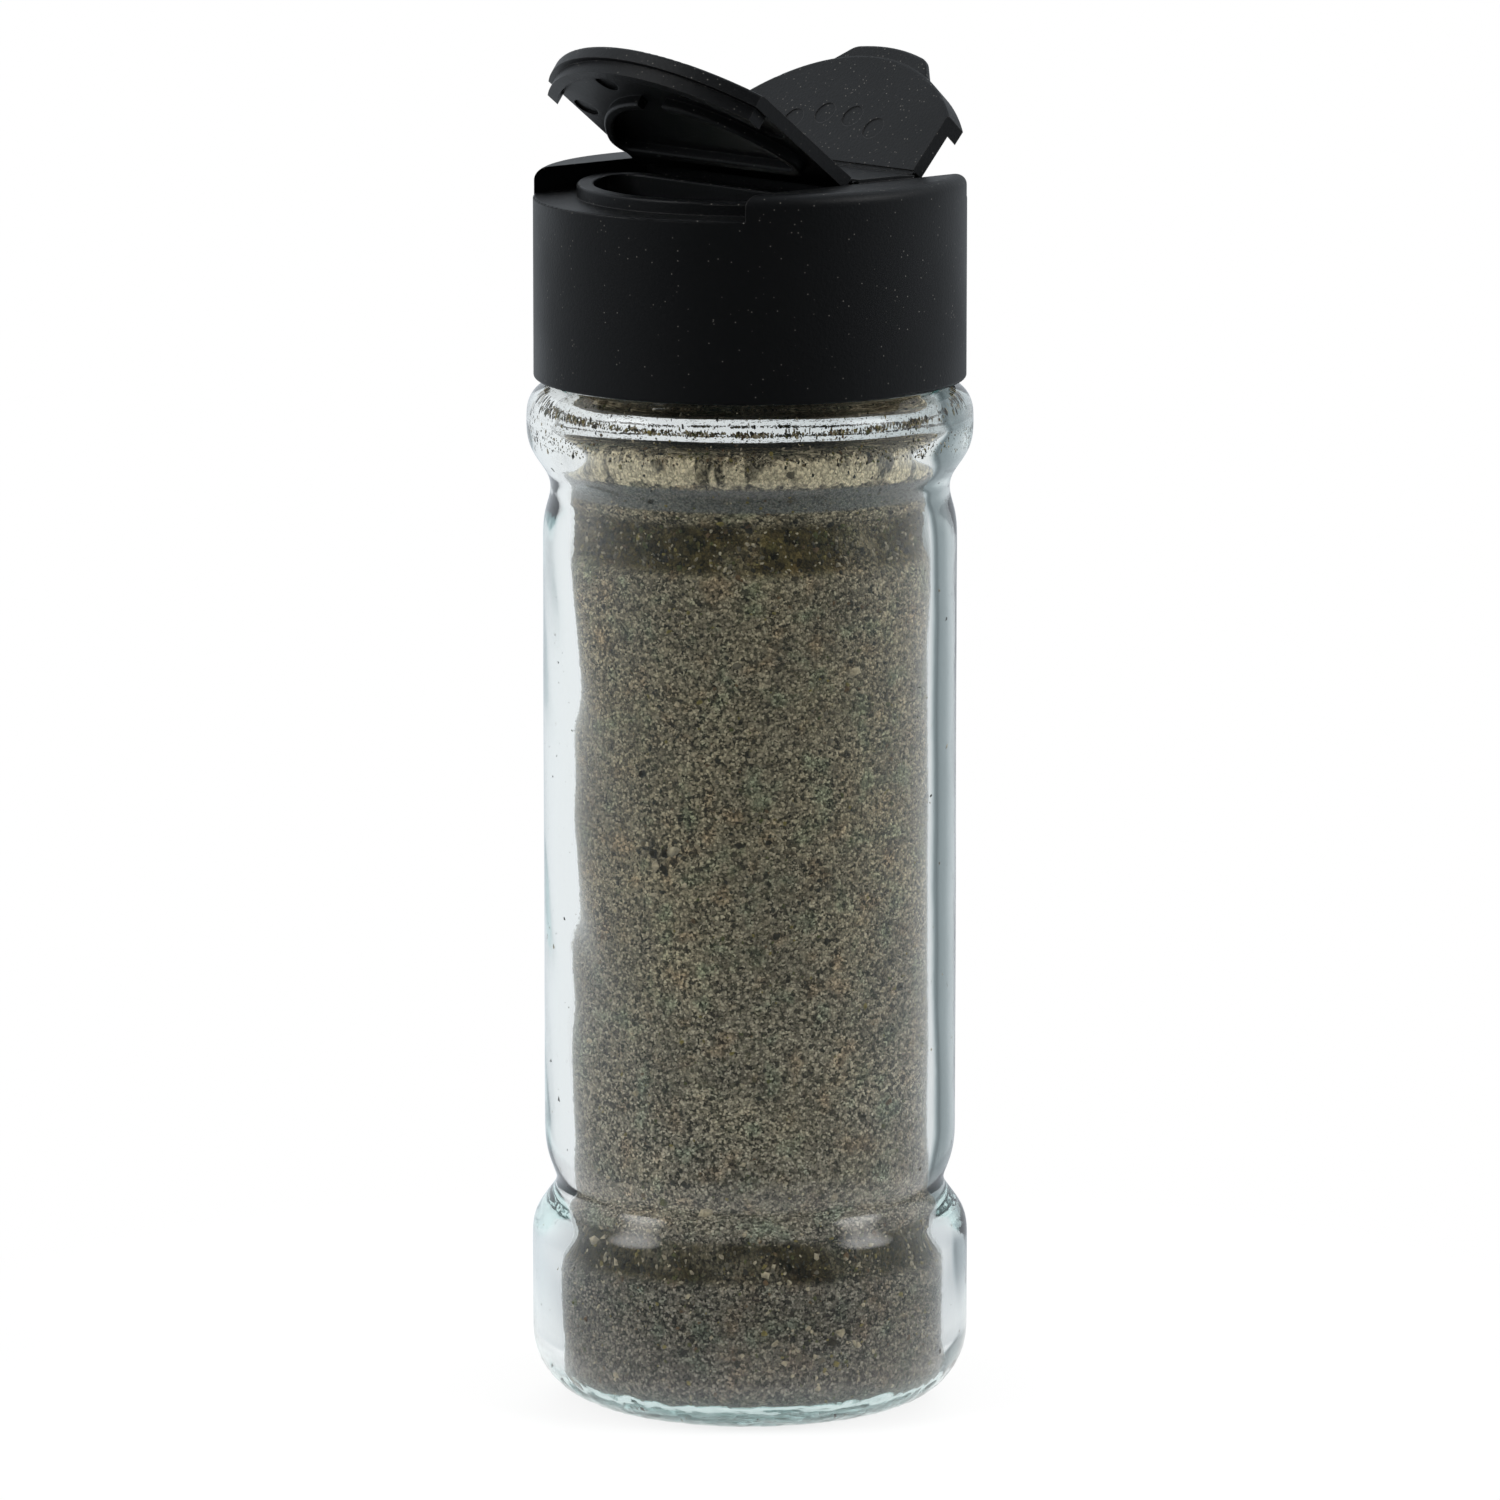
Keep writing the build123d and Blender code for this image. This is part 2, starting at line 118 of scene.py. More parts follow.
# Heights over which the greener faces of the base end, and how far swirls move them
BASE_EDGE = mm(4.2, 6.2)
BASE_SWIRL = 2.4 * MILLIMETRE
GLASS_IOR = 1.52

# Bands of the pepper: the ring of the glass that each is measured from, its heights over it and its ease
PEPPER_BANDS = {
    "slope": ("waist", mm(3.6, 5.3, 0.4)),
    "waist": ("waist", mm(0.3, 2.9, 0.5)),
    "upper_hollow": ("waist", mm(-5.4, -2.2, 1.3)),
    "lower_hollow": ("groove", mm(-6.4, -3.9, 1.0)),
}
# How far each hollow's depth eases out
HOLLOW_EASES = {"upper_hollow": 1.4 * MILLIMETRE, "lower_hollow": 1.2 * MILLIMETRE}
# Heights between which the powder turns from its cool, settled look to its own colour
SETTLED = mm(20.0, 60.0)
# Dunes on the pepper's top, full from this radius outwards, and how far down from its highest point they go
DUNE_HEIGHT = 0.35 * MILLIMETRE
DUNE_RADIUS = 9.0 * MILLIMETRE
TOP_DEPTH, TOP_EASE = mm(0.45, 0.3)
# Rings of the pepper wider than this lie against the glass
PEPPER_WALL_RADIUS = 14.0 * MILLIMETRE

# Flakes: how thickly they lie on the wall, in the hollows and in the foot
WALL_FLAKES, HOLLOW_FLAKES, FOOT_FLAKES = 0.8, 5.0, 1.2
FOOT_BAND = mm(4.0, 12.0, 4.0)
# Where coarse flakes lie together: degrees about +Z from +X, height and spread, and how many
FLAKE_GROUPS = (
    (-164.0, mm(58.3, 1.3), 16),
    (-146.0, mm(62.0, 1.8), 5),
    (-112.0, mm(8.6, 2.2), 20),
    (-98.0, mm(76.5, 2.0), 7),
    (-157.0, mm(24.5, 2.6), 12),
    (60.0, mm(44.0, 2.2), 14),
)

# Grains stuck inside the bulge, by height over the fill line: they thin out upwards and gather in one line.
# A few more stick all down the wall, one for every WALL_GRAINS_PART of these.
STUCK_LOW, STUCK_HIGH = mm(-0.8, 4.6)
STUCK_FADE, STUCK_LEAST = 0.9 * MILLIMETRE, 0.08
TIDE_LINE = mm(1.98, 2.10, 0.14)
TIDE_GRAINS = 7.0
BULGE_RADIUS = 15.0 * MILLIMETRE
WALL_GRAINS_LOW = 8.0 * MILLIMETRE
WALL_GRAINS_PART = 20

# How much the flakes' widths vary, and the largest one in ordinary ones. How far flakes lean, and half their
# thickness as a share of their width.
FLAKE_SPREAD, FLAKE_LARGEST = 0.42, 3.0
FLAKE_LEAN = 0.35
FLAKE_THICKNESS = 0.22

# The webs of the hinges: rows across the bend and steps along it, how thin the bend is, and the share of the
# web's reach that bends
WEB_ROWS, WEB_STEPS = 13, 24
WEB_THINNEST = 0.72
PLASTIC_IOR = 1.49

# Lamps: degrees round from the camera and up, distance from the jar, and share of the power setting
SOFTBOX_TURN = 76.0
SOFTBOX_RISE = 37.0
LAMPS = {
    "softbox_left": (-SOFTBOX_TURN, SOFTBOX_RISE, 0.95, 1.0),
    "softbox_right": (SOFTBOX_TURN, SOFTBOX_RISE, 0.95, 1.0),
    "back_light": (168.0, 48.0, 1.1, 0.55),
}
LAMP_SIZE = 0.5
LAMP_AIM = Vector((0.0, 0.0, 0.07))
# A softbox as gloss sees it: the cosines of its soft edge and its core, and its level
SOFTBOX_GLOSS = (0.966, 0.996, 4.5)

# Levels round the studio, by degrees to the right of the camera's line of sight
PANEL_STOPS = (
    (-180, 0.13), (-150, 0.15), (-125, 0.24), (-100, 0.58), (-70, 0.90), (-20, 0.94), (-2, 0.86), (7, 0.64),
    (14, 0.50), (20, 0.43), (24, 0.34), (28, 0.29), (37, 0.26), (41, 0.13), (44, 0.24), (47, 0.60),
    (50, 0.84), (65, 0.92), (84, 0.72), (100, 0.52), (125, 0.22), (150, 0.15), (180, 0.13),
)
ROOM_STOPS = (
    (-180, 0.04), (-150, 0.05), (-120, 0.18), (-95, 0.27), (-70, 0.36), (-45, 0.62), (-15, 0.74), (0, 0.62),
    (15, 0.50), (60, 0.46), (95, 0.34), (120, 0.18), (150, 0.05), (180, 0.04),
)

# The floor: its radius, and the distances from the jar over which it takes on the studio's levels, first for
# matt rays, then for gloss and for rays through glass, and over which the jar's shadow gives way to white
FLOOR_RADIUS = 14.0
FLOOR_DIMS = (0.05, 0.20)
FLOOR_DIMS_IN_GLOSS = (0.028, 0.07)
FLOOR_DIMS_IN_GLASS = (0.04, 0.09)
FLOOR_SHADOW = (0.026, 0.10)


# Settings that a user would change

def size_setting(name, description, millimetres):
    """A length, given in millimetres."""
    metres = millimetres * MILLIMETRE
    return FloatProperty(name=name, description=description, default=metres, subtype="DISTANCE", precision=5)


def colour_setting(name, description, default):
    """A linear colour."""
    return FloatVectorProperty(
        name=name, description=description, default=default, subtype="COLOR", min=0.0, max=1.0
    )


def angle_setting(name, description, degrees):
    """An angle, given in degrees."""
    return FloatProperty(name=name, description=description, default=math.radians(degrees), subtype="ANGLE")


class GlassSettings(PropertyGroup):
    """Sizes and colours of the glass jar."""

    segments: IntProperty(name="Segments", description="Faces round the jar", default=256, min=48)
    line_step: size_setting("Line step", "Distance between rings along the section of the glass", 0.35)
    inner_waviness: size_setting("Inner waviness", "How far the blown inside wanders from its section", 0.22)
    inner_lean: size_setting("Inner lean", "How far the blown inside stands off the jar's axis", 0.11)
    inner_growth: size_setting("Inner growth", "How much wider than its section the body's inside is", 0.42)
    outer_waviness: size_setting(
        "Outer waviness", "How far the moulded outside wanders from its section", 0.025
    )
    base_ripple: size_setting("Base ripple", "Depth of the chill marks in the thick base", 0.16)
    thin_colour: colour_setting("Thin glass colour", "What the walls let through", (0.995, 1.0, 0.998))
    thick_colour: colour_setting(
        "Thick glass colour", "What each face of the thick base lets through", (0.69, 0.82, 0.81)
    )
    tint: colour_setting("Tint", "What a thick piece of the glass lets through", (0.52, 0.80, 0.79))
    tint_density: FloatProperty(
        name="Tint density",
        description="How fast the tint builds up with the thickness of the glass, per metre",
        default=18.0,
    )


class PepperSettings(PropertyGroup):
    """Sizes and colours of the ground pepper."""

    segments: IntProperty(name="Segments", description="Faces round the pepper", default=360, min=48)
    line_step: size_setting("Line step", "Distance between rings along the section of the pepper", 0.4)
    grain_relief: size_setting(
        "Grain relief", "How far single grains stand out of the pepper's surface", 0.07
    )
    hollow_depth: size_setting(
        "Hollow depth", "How far the pepper has sunk from the glass under its two overhangs", 0.9
    )
    flake_count: IntProperty(name="Flakes", description="Flakes against the glass", default=9000, min=0)
    flake_size: size_setting("Flake size", "Width of an ordinary flake", 0.42)
    coarse_size: size_setting(
        "Coarse flake size", "Width of an ordinary flake in the groups of coarse ones", 0.85
    )
    stuck_count: IntProperty(
        name="Stuck grains", description="Grains on the glass over the fill line", default=7000, min=9
    )
    stuck_size: size_setting("Stuck grain size", "Width of an ordinary grain that sticks to the glass", 0.2)
    dark_colour: colour_setting("Husk colour", "Colour of the darkest husk grains", (0.022, 0.018, 0.011))
    middle_colour: colour_setting("Powder colour", "Colour of the fine powder", (0.205, 0.171, 0.116))
    pale_colour: colour_setting("Kernel colour", "Colour of the pale kernel grains", (0.40, 0.34, 0.235))


class PlasticSettings(PropertyGroup):
    """Finish of the moulded cap and flaps."""

    colour: colour_setting("Colour", "Colour of the plastic", (0.0030, 0.0033, 0.0037))
    dust_colour: colour_setting("Dust colour", "Colour of the pepper dust on the plastic", (0.22, 0.21, 0.19))
    grain_size: size_setting("Grain size", "Width of one bump of the satin grain", 0.16)
    edge_softness: size_setting("Edge softness", "Radius at which moulded edges catch the light", 0.12)


class HingeSettings(PropertyGroup):
    """Sizes of the living hinges."""

    web_thickness: size_setting("Web thickness", "Thickness of the bent web between the cap and a flap", 0.25)
    web_reach: size_setting("Web reach", "How far the web runs over each side of the hinge", 0.34)


class StageSettings(PropertyGroup):
    """Camera, lamps and surroundings."""

    camera_distance: size_setting("Camera distance", "Distance of the camera from the jar's axis", 1029.4)
    camera_height: size_setting("Camera height", "Height of the camera over the floor", 244.75)
    camera_turn: angle_setting("Camera turn", "Turn of the camera round the jar from the front", -41.94)
    camera_dip: angle_setting("Camera dip", "How far the camera looks down", 9.86)
    camera_lens: FloatProperty(
        name="Lens",
        description="Focal length on a full-frame sensor, in millimetres",
        default=250.4,
    )
    lamp_power: FloatProperty(
        name="Side lamp power",
        description="Power of each of the two softboxes",
        default=7.6,
        subtype="POWER",
    )
    glass_bounces: IntProperty(
        name="Glass bounces",
        description="How often light may turn inside the thick glass before it is given up",
        default=28,
        min=4,
    )
    ambient: colour_setting(
        "Ambient light", "Light from all round that fills the shadows", (0.62, 0.63, 0.64)
    )


class SpiceJarSettings(PropertyGroup):
    """All settings of the spice jar."""

    glass: PointerProperty(type=GlassSettings, name="Glass", description="The glass jar")
    pepper: PointerProperty(type=PepperSettings, name="Pepper", description="The ground pepper")
    plastic: PointerProperty(type=PlasticSettings, name="Plastic", description="The cap and its flaps")
    hinge: PointerProperty(type=HingeSettings, name="Hinges", description="The living hinges")
    stage: PointerProperty(type=StageSettings, name="Stage", description="Camera, lamps and floor")


# Sections and turned forms

def cad_section(name):
    """The half section of a turned CAD node as an ordered line of (radius, height), from its lowest point on
    the axis round to its other point on the axis."""
    mesh = bmesh.new()
    mesh.from_mesh(frame["nodes"][name].data)
    bmesh.ops.remove_doubles(mesh, verts=mesh.verts, dist=SAME_PLACE)
    everything = mesh.verts[:] + mesh.edges[:] + mesh.faces[:]
    bmesh.ops.bisect_plane(mesh, geom=everything, plane_co=(0, 0, 0), plane_no=(0, 1, 0), dist=SAME_PLACE)
    near = 2.0 * SAME_PLACE
    on_plane = {vert for vert in mesh.verts if abs(vert.co.y) < near and vert.co.x > -near}
    here = min((vert for vert in on_plane if vert.co.x < near), key=lambda vert: vert.co.z)
    line, seen = [], set()
    while here is not None:
        seen.add(here)
        line.append((max(here.co.x, 0.0), here.co.z))
        steps = [edge.other_vert(here) for edge in here.link_edges]
        steps = [vert for vert in steps if vert in on_plane and vert not in seen]
        here = min(steps, key=lambda vert: (vert.co - here.co).length) if steps else None
    mesh.free()
    return np.array(line)


def line_distances(line):
    """How far along a section line each of its points lies."""
    return np.concatenate([[0.0], np.cumsum(np.hypot(*np.diff(line, axis=0).T))])


def even_line(line, step, rounds=6):
    """The same line with points an even step apart, eased so that short facets of its curves don't show."""
    lengths = line_distances(line)
    places = np.linspace(0.0, lengths[-1], max(3, int(round(lengths[-1] / step)) + 1))
    even = np.stack([np.interp(places, lengths, line[:, axis]) for axis in (0, 1)], axis=1)
    for _ in range(rounds):
        even[1:-1] = 0.25 * even[:-2] + 0.5 * even[1:-1] + 0.25 * even[2:]
    return even


def line_normals(line):
    """Unit normals of a section line, on the side to the right of the way it runs."""
    along = np.gradient(line, axis=0)
    along /= np.maximum(np.hypot(along[:, 0], along[:, 1]), 1e-12)[:, None]
    return np.stack([along[:, 1], -along[:, 0]], axis=1)


def ring_angles(segments):
    """The angle of each point of a ring."""
    return np.linspace(0.0, FULL_TURN, segments, endpoint=False)


def turned_points(line, offsets):
    """Points of a turned surface: the line moved out along its normals by offsets[point, segment]."""
    angles = ring_angles(offsets.shape[1])
    moved = line[:, None, :] + line_normals(line)[:, None, :] * offsets[:, :, None]
    radii = np.maximum(moved[:, :, 0], 0.0)
    return np.stack([radii * np.cos(angles), radii * np.sin(angles), moved[:, :, 1]], axis=2)


def mesh_piece(name, places, faces, material, smooth=True):
    """A new object of its own mesh and one material."""
    mesh = bpy.data.meshes.new(name)
    mesh.from_pydata(places, [], faces)
    mesh.update()
    mesh.polygons.foreach_set("use_smooth", np.full(len(mesh.polygons), smooth))
    mesh.materials.append(material)
    piece = bpy.data.objects.new(name, mesh)
    bpy.context.scene.collection.objects.link(piece)
    return piece


def turned_piece(name, points, material):
    """A closed turned mesh from rings of points, its first and last ring drawn to one point on the axis."""
    rings, segments = points.shape[:2]
    inner = points[1:-1].reshape(-1, 3)
    poles = points[[0, -1]].mean(axis=1) * (0.0, 0.0, 1.0)
    places = np.vstack([inner, poles])
    column = np.arange(segments)
    beside = (column + 1) % segments
    faces = []
    for ring in range(rings - 3):
        low, high = ring * segments, (ring + 1) * segments
        faces += np.stack([low + column, low + beside, high + beside, high + column], axis=1).tolist()
    last = (rings - 3) * segments
    first_pole, last_pole = len(inner), len(inner) + 1
    faces += [(first_pole, int(b), int(a)) for a, b in zip(column, beside)]
    faces += [(last_pole, int(last + a), int(last + b)) for a, b in zip(column, beside)]
    return mesh_piece(name, places.tolist(), faces, material)


def waves(distances, segments, seed, turns, lengths, count=26):
    """A smooth field of about -1 to 1 over a turned surface, from a seeded sum of waves. turns gives the
    fewest and most waves round the jar, and lengths the shortest and longest wave along the section."""
    chance = np.random.default_rng(seed)
    angles = ring_angles(segments)[None, :]
    along = distances[:, None]
    swell = 0.37  # Each wave also grows and fades along the section, at this share of its own pitch
    field = np.zeros((len(distances), segments))
    for _ in range(count):
        round_count = chance.integers(turns[0], turns[1] + 1)
        pitch = FULL_TURN / chance.uniform(*lengths)
        phases = chance.uniform(0.0, FULL_TURN, 2)
        wave = np.cos(round_count * angles + phases[0] + pitch * along)
        field += wave * np.cos(phases[1] + swell * pitch * along)
    return field / (1.3 * math.sqrt(count))


def between(values, low, high, soft):
    """1 where values lie between low and high, easing to 0 over soft beyond both."""
    rise = np.clip((values - low + soft) / soft, 0.0, 1.0)
    fall = np.clip((high + soft - values) / soft, 0.0, 1.0)
    share = rise * fall
    return share * share * (3.0 - 2.0 * share)


def off_axis(radii, reach):
    """0 on the axis and 1 from reach outwards, as a column."""
    return np.clip(radii / reach, 0.0, 1.0)[:, None]


# Material nodes

def new_material(name):
    """An empty node material, its node tree and the place on the object that its textures go by."""
    material = bpy.data.materials.new(name)
    material.use_nodes = True
    tree = material.node_tree
    tree.nodes.clear()
    return material, tree, node(tree, "TexCoord").outputs["Object"]


def finished(material, surface, volume=None):
    """The material with its surface shader, and its volume shader where it has one."""
    output = node(material.node_tree, "OutputMaterial", Surface=surface)
    if volume is not None:
        fill(material.node_tree, output.inputs["Volume"], volume)
    return material


def fill(tree, socket, value):
    """Links another node's output to a socket, or sets the socket's value."""
    if isinstance(value, NodeSocket):
        tree.links.new(value, socket)
    else:
        socket.default_value = value


def node(tree, kind, settings=None, **inputs):
    """Adds a node. settings are its attributes, inputs its sockets by name with spaces written as _, or i and
    a number, each a value or another node's output."""
    made = tree.nodes.new("ShaderNode" + kind)
    for key, value in (settings or {}).items():
        setattr(made, key, value)
    for key, value in inputs.items():
        numbered = key[0] == "i" and key[1:].isdigit()
        fill(tree, made.inputs[int(key[1:]) if numbered else key.replace("_", " ")], value)
    return made


def arithmetic(tree, operation, *values, clamp=False):
    """One math node's output."""
    inputs = {f"i{place}": value for place, value in enumerate(values)}
    return node(tree, "Math", {"operation": operation, "use_clamp": clamp}, **inputs).outputs[0]


def vector_maths(tree, operation, *vectors, output="Vector", **inputs):
    """One vector math node's output."""
    inputs.update({f"i{place}": vector for place, vector in enumerate(vectors)})
    return node(tree, "VectorMath", {"operation": operation}, **inputs).outputs[output]


def remapped(tree, value, start, end, low=0.0, high=1.0, ease="LINEAR"):
    """How far a value is on its way from start to end, as a number from low to high and never beyond."""
    ends = {"From_Min": start, "From_Max": end, "To_Min": low, "To_Max": high}
    return node(tree, "MapRange", {"interpolation_type": ease}, Value=value, **ends).outputs[0]


def clouds(tree, place, scale, detail, roughness=0.5, distortion=0.0):
    """The grey level of a noise."""
    settings = {"Scale": scale, "Detail": detail, "Roughness": roughness, "Distortion": distortion}
    return node(tree, "TexNoise", Vector=place, **settings).outputs["Fac"]


def blended(tree, share, first, second, blend_type="MIX"):
    """The colour between two colours, by a share from 0 to 1."""
    mix = node(tree, "Mix", {"data_type": "RGBA", "blend_type": blend_type}, i0=share, i6=first, i7=second)
    return mix.outputs[2]


def multiplied(tree, first, second, share=1.0):
    """One colour times another."""
    return blended(tree, share, first, second, "MULTIPLY")


def ramp(tree, factor, *stops, interpolation="LINEAR"):
    """A colour ramp's output. Each stop is a place from 0 to 1 and a grey level or a colour."""
    made = node(tree, "ValToRGB", Fac=factor)
    made.color_ramp.interpolation = interpolation
    while len(made.color_ramp.elements) > 1:
        made.color_ramp.elements.remove(made.color_ramp.elements[-1])
    for place, (position, level) in enumerate(stops):
        element = made.color_ramp.elements[0] if place == 0 else made.color_ramp.elements.new(position)
        element.position = position
        element.color = full(level) if hasattr(level, "__len__") else (level, level, level, 1.0)
    return made.outputs["Color"]


def band(tree, value, low, high, soft):
    """1 where a value lies between low and high, easing to 0 over soft beyond both."""
    rise = remapped(tree, value, low - soft, low, ease="SMOOTHSTEP")
    fall = remapped(tree, value, high + soft, high, ease="SMOOTHSTEP")
    return arithmetic(tree, "MULTIPLY", rise, fall)


def full(colour):
    """A colour with its alpha."""
    return (*colour, 1.0)


def scaled(colour, share):
    """A colour made darker or lighter."""
    return [share * part for part in colour]


def bump(tree, height, strength, distance, normal=None, invert=False):
    """A normal tipped by a height, over an earlier normal where there is one."""
    made = node(tree, "Bump", {"invert": invert}, Strength=strength, Distance=distance, Height=height)
    if normal is not None:
        fill(tree, made.inputs["Normal"], normal)
    return made.outputs[0]


def principled(tree, colour, roughness, normal, **inputs):
    """A principled surface's shader."""
    inputs.update(Base_Color=colour, Roughness=roughness, Normal=normal)
    return node(tree, "BsdfPrincipled", **inputs).outputs[0]


def clear_glass(settings):
    """Clear soda-lime glass with a trace of haze and ripple. Its faint green shows in its thick places, and
    the faces of the thick base are greener still, up to a swirled edge."""
    material, tree, place = new_material("clear_glass")
    haze = remapped(tree, clouds(tree, place, 900.0, 2.0), 0.62, 0.8, 0.0, 0.03)
    ripple = bump(tree, clouds(tree, place, 160.0, 3.0, 0.55), 0.05, 0.2 * MILLIMETRE)
    height = node(tree, "SeparateXYZ", Vector=place).outputs["Z"]
    swirl = clouds(tree, place, 260.0, 3.0, 0.6, distortion=1.5)
    swirled_height = arithmetic(tree, "MULTIPLY_ADD", swirl, BASE_SWIRL, height)
    thick = remapped(tree, swirled_height, *BASE_EDGE, 1.0, 0.0)
    colour = blended(tree, thick, full(settings.thin_colour), full(settings.thick_colour))
    glass = principled(tree, colour, haze, ripple, IOR=GLASS_IOR, Transmission_Weight=1.0)
    path = node(tree, "LightPath")
    straight = arithmetic(tree, "MAXIMUM", path.outputs["Is Shadow Ray"], path.outputs["Is Diffuse Ray"])
    open_way = node(tree, "BsdfTransparent", Color=(0.96, 0.97, 0.965, 1.0))
    mixed = node(tree, "MixShader", Fac=straight, i1=glass, i2=open_way.outputs[0])
    tint = node(tree, "VolumeAbsorption", Color=full(settings.tint), Density=settings.tint_density)
    return finished(material, mixed.outputs[0], tint.outputs[0])


def ground_pepper(settings, bands):
    """Ground pepper as it lies against the glass: fine grey-brown powder with dark husk and pale kernel
    grains, coarser in the two hollows and darkened there with painted shade, paler where dust cakes on the
    slope in the bulge, plain grey in the waist, and darker in the foot."""
    material, tree, place = new_material("ground_pepper")
    height = node(tree, "SeparateXYZ", Vector=place).outputs["Z"]
    dark, middle, pale = settings.dark_colour, settings.middle_colour, settings.pale_colour

    # Grains of two sizes, with edges bent off their straight cells
    jitter = node(tree, "TexNoise", Vector=place, Scale=3200.0, Detail=1.0).outputs["Color"]
    jitter = vector_maths(tree, "SUBTRACT", jitter, (0.5, 0.5, 0.5))
    jitter = vector_maths(tree, "SCALE", jitter, Scale=0.45 * MILLIMETRE)
    grain_place = vector_maths(tree, "ADD", place, jitter)
    fine = node(tree, "TexVoronoi", Vector=grain_place, Scale=3900.0, Randomness=1.0)
    coarse = node(tree, "TexVoronoi", Vector=grain_place, Scale=1700.0, Randomness=1.0)
    fine_parts = node(tree, "SeparateColor", Color=fine.outputs["Color"])
    coarse_parts = node(tree, "SeparateColor", Color=coarse.outputs["Color"])
    speckle = ramp(
        tree,
        fine_parts.outputs[0],
        (0.0, scaled(dark, 0.7)),
        (0.17, scaled(middle, 0.20)),
        (0.38, scaled(middle, 0.68)),
        (0.66, scaled(middle, 1.12)),
        (0.86, scaled(middle, 1.72)),
        (1.0, scaled(pale, 1.1)),
    )
    chunk = ramp(
        tree,
        coarse_parts.outputs[0],
        (0.0, dark),
        (0.3, scaled(middle, 0.5)),
        (0.62, scaled(middle, 0.95)),
        (0.86, (0.115, 0.100, 0.052)),
        (1.0, scaled(pale, 0.8)),
    )

    # Coarser grains in the hollows, and painted shade darkening the pepper there under the two overhangs
    mottle = clouds(tree, place, 150.0, 4.0, 0.6)
    upper = band(tree, height, *bands["upper_hollow"])
    lower = band(tree, height, *bands["lower_hollow"])
    ragged = remapped(tree, mottle, 0.36, 0.50, 0.4, 1.0)
    hollow = arithmetic(tree, "MULTIPLY", arithmetic(tree, "MAXIMUM", upper, lower), ragged)
    chunk_share = remapped(tree, mottle, 0.38, 0.68, 0.06, 0.40)
    chunk_share = arithmetic(tree, "MULTIPLY_ADD", hollow, 0.5, chunk_share, clamp=True)
    colour = blended(tree, chunk_share, speckle, chunk)
    # Painted shade: the hollows are darkened towards a dark brown
    painted_hollow_shade = arithmetic(tree, "MULTIPLY", hollow, 0.9)
    colour = multiplied(tree, colour, (0.33, 0.275, 0.10, 1.0), painted_hollow_shade)

    # Large patches of shade, small ones of hue
    patches = clouds(tree, place, 60.0, 4.0, 0.65)
    shade = ramp(tree, patches, (0.3, (0.86, 0.87, 0.90)), (0.5, 1.04), (0.72, (1.26, 1.23, 1.14)))
    colour = multiplied(tree, colour, shade)
    tinge = ramp(
        tree,
        clouds(tree, place, 330.0, 2.0),
        (0.30, (0.88, 1.04, 1.00)),
        (0.45, 1.0),
        (0.58, 1.0),
        (0.72, (1.10, 0.98, 0.90)),
    )
    colour = multiplied(tree, colour, tinge)

    # Dust that cakes on the slope, in upright streaks with frayed ends
    streaks = node(tree, "Mapping", Vector=place, Scale=(1.0, 1.0, 0.10)).outputs[0]
    streak = clouds(tree, streaks, 330.0, 3.0, 0.55)
    frayed = clouds(tree, place, 900.0, 2.0)
    frayed = arithmetic(tree, "MULTIPLY_ADD", frayed, 2.4 * MILLIMETRE, -1.2 * MILLIMETRE)
    caked = band(tree, arithmetic(tree, "ADD", height, frayed), *bands["slope"])
    caked = arithmetic(tree, "MULTIPLY", caked, remapped(tree, streak, 0.41, 0.46))
    caked = arithmetic(tree, "MULTIPLY", caked, 0.9)
    dust = ramp(
        tree,
        fine_parts.outputs[1],
        (0.0, scaled(middle, 2.2)),
        (0.3, scaled(middle, 3.5)),
        (1.0, scaled(middle, 4.7)),
    )
    colour = blended(tree, caked, colour, dust)

    # Plain grey in the waist
    waist = arithmetic(tree, "MULTIPLY", band(tree, height, *bands["waist"]), 0.8)
    grey = scaled((0.82, 0.83, 0.80), sum(middle) / 3.0)
    colour = blended(tree, waist, colour, full(grey))

    # Darker in the foot and cooler where it has settled
    foot_low, foot_high, _ = bands["lower_hollow"]
    deep = remapped(tree, height, foot_low, foot_high + 3.0 * MILLIMETRE, 0.66, 1.0)
    colour = multiplied(tree, colour, blended(tree, deep, (0.0, 0.0, 0.03, 1.0), WHITE))
    settled = remapped(tree, height, *SETTLED)
    colour = multiplied(tree, colour, blended(tree, settled, (0.99, 1.04, 1.20, 1.0), WHITE))

    # Painted shade in the pits between the grains, darker away from each grain's middle, and grains that
    # stand out in relief
    distance = fine.outputs["Distance"]
    colour = multiplied(tree, colour, remapped(tree, distance, 0.35, 0.75, 1.0, 0.5))
    relief = bump(tree, distance, 0.9, 0.16 * MILLIMETRE, invert=True)
    relief = bump(tree, coarse_parts.outputs[1], 0.8, 0.3 * MILLIMETRE, relief)
    return finished(material, principled(tree, colour, 0.9, relief, Specular_IOR_Level=0.25))


def pepper_flakes(settings):
    """Single flakes of husk and kernel, each of its own colour."""
    material, tree, place = new_material("pepper_flakes")
    dark, middle, pale = settings.dark_colour, settings.middle_colour, settings.pale_colour
    colour = ramp(
        tree,
        node(tree, "NewGeometry").outputs["Random Per Island"],
        (0.0, dark),
        (0.30, scaled(middle, 0.45)),
        (0.46, scaled(middle, 1.15)),
        (0.60, (0.085, 0.050, 0.022)),
        (0.68, (0.055, 0.056, 0.014)),
        (0.78, (0.140, 0.110, 0.030)),
        (0.87, scaled(middle, 1.35)),
        (0.975, scaled(pale, 0.7)),
        interpolation="CONSTANT",
    )
    grit = clouds(tree, place, 2600.0, 2.0)
    colour = multiplied(tree, colour, ramp(tree, grit, (0.3, 0.6), (0.7, 1.3)))
    relief = bump(tree, grit, 0.5, 0.1 * MILLIMETRE)
    return finished(material, principled(tree, colour, 0.75, relief))


